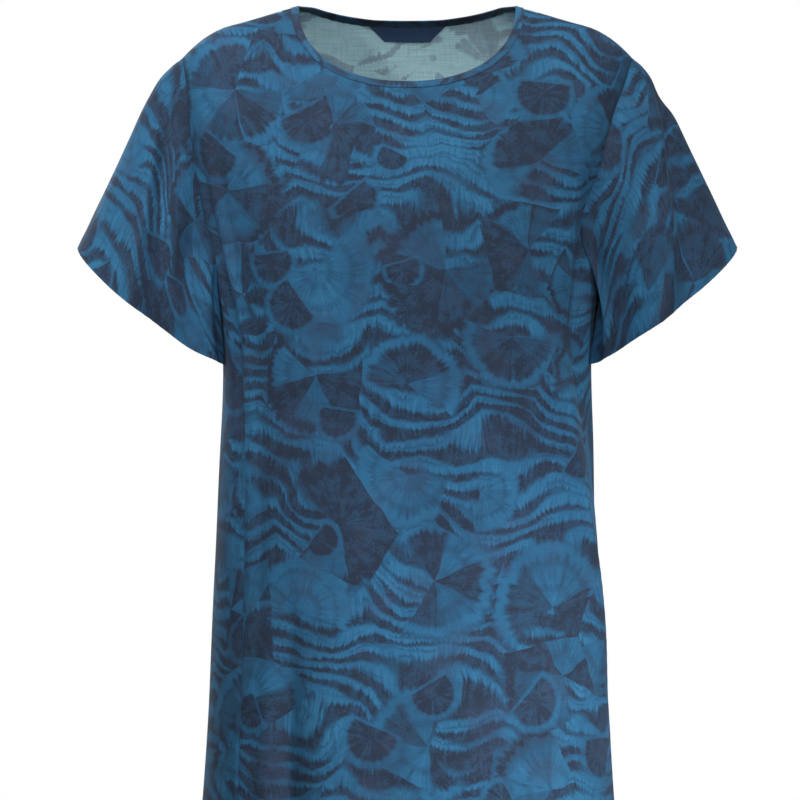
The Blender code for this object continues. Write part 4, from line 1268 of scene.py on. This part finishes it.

# The neck: a folded strip sewn over the cloth's edge, its inner leaf darkened with painted shade
neckBinding = {
    "width": 0.0065,
    "standOff": 0.00020,
    "wall": 0.00045,
    "leafSteps": 6,
    "foldSteps": 7,
    "foldHalf": 0.002,
    "foldBulge": 1.15,
    "around": 460,
    "edgeRounds": 4,
    "ripple": 0.00018,
    "rippleLength": 0.011,
    "seed": 8.13,
    "paintedShadeInside": 0.30,
    "shadeOutside": 1.05,
    "slubShade": 0.3,
    "surface": {"Roughness": 0.8, "Sheen Weight": 0.15, "Specular IOR Level": 0.25},
    "bump": 0.25,
    "bumpDistance": 0.00016,
}


# Evenly spaced points along a line, and the line's length
def evenly(points, count, closed):
    points = np.asarray(points)
    if closed:
        points = np.concatenate((points, points[:1]))
    lengths = np.concatenate(([0], np.cumsum(np.linalg.norm(np.diff(points, axis=0), axis=1))))
    places = np.linspace(0, lengths[-1], count + 1)
    places = places[:-1] if closed else places
    return np.stack([np.interp(places, lengths, points[:, k]) for k in range(3)], -1), lengths[-1]


# The outer faces of both panels in one, for laying the binding and the label on
def bodyGuide():
    mesh = bmesh.new()
    for nodeName in ("front_panel", "back_panel"):
        layGrid(mesh, grids[nodeName])
    tree = BVHTree.FromBMesh(mesh)
    mesh.free()
    return tree


# The neck's edge all round, from the right neck point through the front
def neckline():
    halves = []
    for front in (True, False):
        line = necklines[front]
        rise = bodyPoints(line["angle"], line["level"], ())
        other = bodyPoints(-line["angle"], line["level"], ())
        first, second = (other, rise) if front else (rise, other)
        halves.append(np.concatenate((first, second[-2::-1]))[:-1])
    return np.concatenate(halves)


def smoothLoop(values, rounds):
    for _ in range(rounds):
        values = (np.roll(values, 1, 0) + 2 * values + np.roll(values, -1, 0)) / 4
    return values


# The binding's grid, from its inner leaf over the fold to its outer leaf, and where its stitches lie
def buildNeck(tree):
    b = neckBinding
    edge, length = evenly(neckline(), b["around"], True)
    edge = smoothLoop(edge, b["edgeRounds"])
    found = [tree.find_nearest(Vector(point)) for point in edge]
    normal = unit(smoothLoop(np.array([hit[1] for hit in found]), 6))
    tangent = unit(np.roll(edge, -1, 0) - np.roll(edge, 1, 0))
    away = unit(np.cross(tangent, normal))
    away = np.where((away[:, 0] * edge[:, 0] + away[:, 1] * edge[:, 1])[:, None] < 0, -away, away)
    spots = [edge]
    ups = [normal]
    for step in range(1, b["leafSteps"] + 1):
        guess = edge + away * (b["width"] * step / b["leafSteps"])
        found = [tree.find_nearest(Vector(point)) for point in guess]
        spots.append(smoothLoop(np.array([hit[0] for hit in found]), 2))
        ups.append(unit(smoothLoop(np.array([hit[1] for hit in found]), 6)))
    runs = np.arange(b["around"]) * length / b["around"]
    ripple = b["ripple"] * np.sin(runs * 2 * math.pi / b["rippleLength"] + 1.7 * np.sin(runs * 37))
    ripple = ripple[:, None]
    lift = b["standOff"] + b["wall"]
    wall = sewing["wall"]
    rows = []
    across = []
    half = wall / 2 + lift
    for step in range(b["leafSteps"], -1, -1):
        fade = step / b["leafSteps"]
        rows.append(spots[step] - ups[step] * (wall + lift + ripple * fade))
        across.append(-b["width"] * fade - b["foldHalf"])
    middle = edge - normal * (wall / 2)
    for step in range(1, b["foldSteps"]):
        turn = math.pi * step / b["foldSteps"]
        fold = normal * math.cos(turn) + away * b["foldBulge"] * math.sin(turn)
        rows.append(middle - half * fold)
        across.append(mix(-b["foldHalf"], b["foldHalf"], step / b["foldSteps"]))
    for step in range(b["leafSteps"] + 1):
        fade = step / b["leafSteps"]
        rows.append(spots[step] + ups[step] * (lift + ripple * fade))
        across.append(b["width"] * fade + b["foldHalf"])
    points = np.stack(rows)
    points = np.concatenate((points, points[:, :1]), axis=1)
    flat = np.zeros(points.shape[:2] + (2,))
    flat[..., 0] = np.append(runs, length)
    flat[..., 1] = np.array(across)[:, None]
    walls = np.full(points.shape[:2], b["wall"])
    line = b["leafSteps"] - 1
    outer = spots[line] + ups[line] * lift
    inner = spots[line] - ups[line] * (wall + lift)
    return points, flat, walls, [(outer, ups[line]), (inner, -ups[line])], length


def bindingFinish():
    made, tree, shader = newMaterial("neckBindingCloth")
    b = neckBinding
    place = addNode(tree, "ShaderNodeUVMap", uv_map="flatPattern").outputs[0]
    dye = groupNode(tree, printGroup, {"Vector": place, "Seed": b["seed"]})
    threads = groupNode(tree, weaveGroup, {"Vector": place})
    height = addNode(tree, "ShaderNodeSeparateXYZ", {"Vector": place}).outputs["Y"]
    outside = smoothStep(tree, height, -0.0020, -0.0004)
    shade = calc(tree, "MULTIPLY", calc(tree, "SUBTRACT", threads["Slub"], 0.5), b["slubShade"])
    # Painted shade: the inner leaf's print is multiplied darker to stand for the shade it lies in
    lightness = calc(tree, "ADD", blend(tree, outside, b["paintedShadeInside"], b["shadeOutside"]), shade)
    colour = vectorCalc(tree, "SCALE", dye["Color"], scale=lightness)
    tree.links.new(colour, shader["Base Color"])
    setValues(shader, b["surface"])
    addBump(tree, shader, b["bump"], b["bumpDistance"], threads["Height"])
    return made


bodyTree = bodyGuide()
points, flat, walls, neckSeams, neckLength = buildNeck(bodyTree)
binding = addPiece(
    "neckBindingStrip",
    clothMesh(points, flat, walls, True),
    (bindingFinish(), bpy.data.materials["neckBindingCloth"]),
    "neck_binding",
)
print(binding.name, len(binding.data.polygons), "faces, round the neck", round(neckLength, 3))

# A blank satin label, sewn in under the back binding
neckLabel = {
    "topWidth": 0.074,
    "bottomWidth": 0.044,
    "height": 0.0155,
    "below": 0.0062,
    "wall": 0.0004,
    "curl": 0.0014,
    "bow": 0.0004,
    "bowWaves": 130,
    "lean": (0.55, 0.84),
    "across": 60,
    "down": 18,
    "dark": (0.024, 0.045, 0.100, 1),
    "sheen": (0.044, 0.082, 0.170, 1),
    "surface": {"Roughness": 0.42, "Sheen Weight": 0.1},
    "bump": 0.2,
    "bumpDistance": 0.0001,
}


# The label's grid against the inside of the back, a little off it at its lower edge, and its flat places
def buildLabel(tree):
    n = neckLabel
    rows = []
    flat = []
    for i in range(n["down"] + 1):
        down = i / n["down"]
        x = mix(n["topWidth"], n["bottomWidth"], down) * (0.5 - np.arange(n["across"] + 1) / n["across"])
        angle, level = yokePlace(x, neckDropAt(x, False), False)
        top = bodyPoints(angle * np.where(x < 0, -1, 1), level, ())
        below = n["below"] + n["height"] * down
        spots = []
        for place, start in zip(x, top):
            guess = Vector((place, start[1] + below * n["lean"][0], start[2] - below * n["lean"][1]))
            spot, normal = tree.find_nearest(guess)[:2]
            away = sewing["wall"] + 0.0002 + n["curl"] * down**2
            away += n["bow"] * math.sin(place * n["bowWaves"]) * down
            spots.append(spot - normal * away)
        rows.append(spots)
        flat.append([(place, -n["height"] * down) for place in x])
    return np.array(rows), np.array(flat)


def labelFinish():
    made, tree, shader = newMaterial("labelSatin")
    place = addNode(tree, "ShaderNodeUVMap", uv_map="flatPattern").outputs[0]
    ribs = vectorCalc(tree, "MULTIPLY", place, (2200.0, 90.0, 0.0))
    threads = noiseAt(tree, ribs, 1.0, 2.0).outputs[0]
    colour = blendColours(tree, threads, neckLabel["dark"], neckLabel["sheen"])
    tree.links.new(colour, shader["Base Color"])
    setValues(shader, neckLabel["surface"])
    addBump(tree, shader, neckLabel["bump"], neckLabel["bumpDistance"], threads)
    return made


points, flat = buildLabel(bodyTree)
label = addPiece(
    "blankNeckLabel",
    clothMesh(points, flat, np.full(points.shape[:2], neckLabel["wall"]), False),
    (labelFinish(), bpy.data.materials["labelSatin"]),
    "neck_label",
)
print(label.name, len(label.data.polygons), "faces")

# Stitches along the binding and the hems, each a small grain of thread
stitches = {
    "pitch": 0.0029,
    "length": 0.0021,
    "thickness": 0.00036,
    "sink": 0.35,
    "dark": (0.020, 0.050, 0.100, 1),
    "pale": (0.036, 0.088, 0.165, 1),
    "roughness": 0.6,
}


def addStitches(mesh, path, normals, closed):
    n = stitches
    count = max(2, round(np.linalg.norm(np.diff(path, axis=0), axis=1).sum() / n["pitch"]))
    spots, _ = evenly(path, count, closed)
    ups, _ = evenly(path + normals, count, closed)
    for k in range(len(spots) - 1):
        spot = Vector(spots[k])
        along = (Vector(spots[k + 1]) - spot).normalized()
        up = (Vector(ups[k]) - spot).normalized()
        side = up.cross(along).normalized()
        up = along.cross(side)
        turn = Matrix((along, side, up)).transposed().to_4x4()
        size = Matrix.Diagonal((n["length"] / 2, n["thickness"] / 2, n["thickness"] / 2, 1))
        place = Matrix.Translation(spot + up * n["thickness"] * (0.5 - n["sink"]))
        bmesh.ops.create_icosphere(mesh, subdivisions=1, radius=1, matrix=place @ turn @ size)


# The line that a hem's stitches follow, at a height above its edge
def hemLine(points, height):
    run = runLengths(points, 0)
    toHem = run[-1:] - run
    normals = gridNormals(points)
    path = []
    ups = []
    for j in range(points.shape[1]):
        far = toHem[::-1, j]
        path.append([np.interp(height, far, points[::-1, j, k]) for k in range(3)])
        ups.append([np.interp(height, far, normals[::-1, j, k]) for k in range(3)])
    return np.array(path), np.array(ups)


def threadFinish():
    made, tree, shader = newMaterial("sewingThread")
    place = addNode(tree, "ShaderNodeTexCoord").outputs["Object"]
    uneven = noiseAt(tree, place, 900.0, 1.0, "3D").outputs[0]
    colour = blendColours(tree, uneven, stitches["dark"], stitches["pale"])
    tree.links.new(colour, shader["Base Color"])
    shader["Roughness"].default_value = stitches["roughness"]
    return made


thread = threadFinish()
mesh = bmesh.new()
for path, ups in neckSeams:
    addStitches(mesh, path, ups, True)
neckStitches = addPiece("neckStitches", mesh, (thread,), None)
for nodeName in ("front_panel", "back_panel"):
    mesh = bmesh.new()
    path, ups = hemLine(grids[nodeName], sewing["stitchLine"])
    addStitches(mesh, path, ups, False)
    addPiece(nodeName + "HemStitches", mesh, (thread,), None)
print("stitches sewn")

# The stage: a plain pale floor under the hem, soft light and a white surround
stage = {
    "floorDrop": 1.470,
    "floorRadius": 6.0,
    "cameraDistance": 10.0,
    "frameWidth": 0.760,
    "frameCentre": (-0.007, -0.360),
    "surround": 1.0,
    "ambient": 0.16,
    "floorColours": ((0.80, 0.80, 0.80, 1), (0.86, 0.86, 0.86, 1)),
    "floorRoughness": 0.9,
    "sensorWidth": 36,
}

# Square lights: where each stands and points, its side in metres, its power in watts, and its beam
Light = namedtuple("Light", "name place target side power spread")
lights = (
    Light("frontLight", (0.2, -4.1, 1.3), (0, 0, -0.32), 1.2, 7.2, 60),
    Light("leftLight", (-2.7, -2.0, 1.6), (-0.32, 0, -0.14), 0.5, 0.50, 12),
    Light("rightLight", (2.5, -2.7, -0.9), (0.16, 0, -0.66), 0.5, 1.0, 15),
    Light("topLight", (0.2, -0.5, 2.6), (0.02, 0, 0), 1.0, 4.2, 50),
    Light("backLight", (-1.6, 3.2, 1.2), (0, 0, -0.5), 2.0, 12.0, 70),
)


def addLight(light):
    data = bpy.data.lights.new(light.name, "AREA")
    data.shape = "SQUARE"
    data.size = light.side
    data.energy = light.power
    data.spread = math.radians(light.spread)
    lamp = addToScene(light.name, data)
    lamp.location = light.place
    lamp.rotation_euler = (Vector(light.target) - Vector(light.place)).to_track_quat("-Z", "Y").to_euler()
    lamp.visible_camera = False


def buildFloor():
    mesh = bmesh.new()
    bmesh.ops.create_circle(mesh, cap_ends=True, segments=96, radius=stage["floorRadius"])
    bmesh.ops.translate(mesh, verts=mesh.verts[:], vec=(0, 0, form["neckPointHeight"] - stage["floorDrop"]))
    data = bpy.data.meshes.new("studioFloor")
    mesh.to_mesh(data)
    mesh.free()
    floor = addToScene("studioFloor", data)
    made, tree, shader = newMaterial("studioFloorPaint")
    place = addNode(tree, "ShaderNodeTexCoord").outputs["Object"]
    grain = noiseAt(tree, place, 3.0, 3.0, "3D").outputs[0]
    tree.links.new(blendColours(tree, grain, *stage["floorColours"]), shader["Base Color"])
    shader["Roughness"].default_value = stage["floorRoughness"]
    data.materials.append(made)


# White behind the dress in the picture, and a dimmer light from all round on the dress
def buildSurround():
    world = bpy.data.worlds.new("studioWorld")
    bpy.context.scene.world = world
    world.use_nodes = True
    tree = world.node_tree
    background = tree.nodes["Background"]
    background.inputs["Color"].default_value = (1, 1, 1, 1)
    seen = addNode(tree, "ShaderNodeLightPath").outputs["Is Camera Ray"]
    tree.links.new(blend(tree, seen, stage["ambient"], stage["surround"]), background.inputs["Strength"])


# A long lens far off, level with the middle of the photo
def addCamera():
    data = bpy.data.cameras.new("photoCamera")
    data.sensor_fit = "HORIZONTAL"
    data.sensor_width = stage["sensorWidth"]
    data.lens = stage["sensorWidth"] * stage["cameraDistance"] / stage["frameWidth"]
    data.clip_end = 60
    camera = addToScene("photoCamera", data)
    camera.location = (stage["frameCentre"][0], -stage["cameraDistance"], stage["frameCentre"][1])
    camera.rotation_euler = (math.pi / 2, 0, 0)
    bpy.context.scene.camera = camera
    bpy.context.scene.view_settings.view_transform = "Standard"


buildFloor()
buildSurround()
for light in lights:
    addLight(light)
addCamera()
print("stage set")

# The cut of each piece, flat
cuts = {
    "front_panel": {"flat": (0.80, 1.40), "area": 0.726},
    "back_panel": {"flat": (0.84, 1.41), "area": 0.775},
    "sleeve_left": {"flat": (0.40, 0.21), "area": 0.063},
    "sleeve_right": {"flat": (0.40, 0.21), "area": 0.060},
}
for nodeName, cut in cuts.items():
    piece = clothPieces[nodeName]
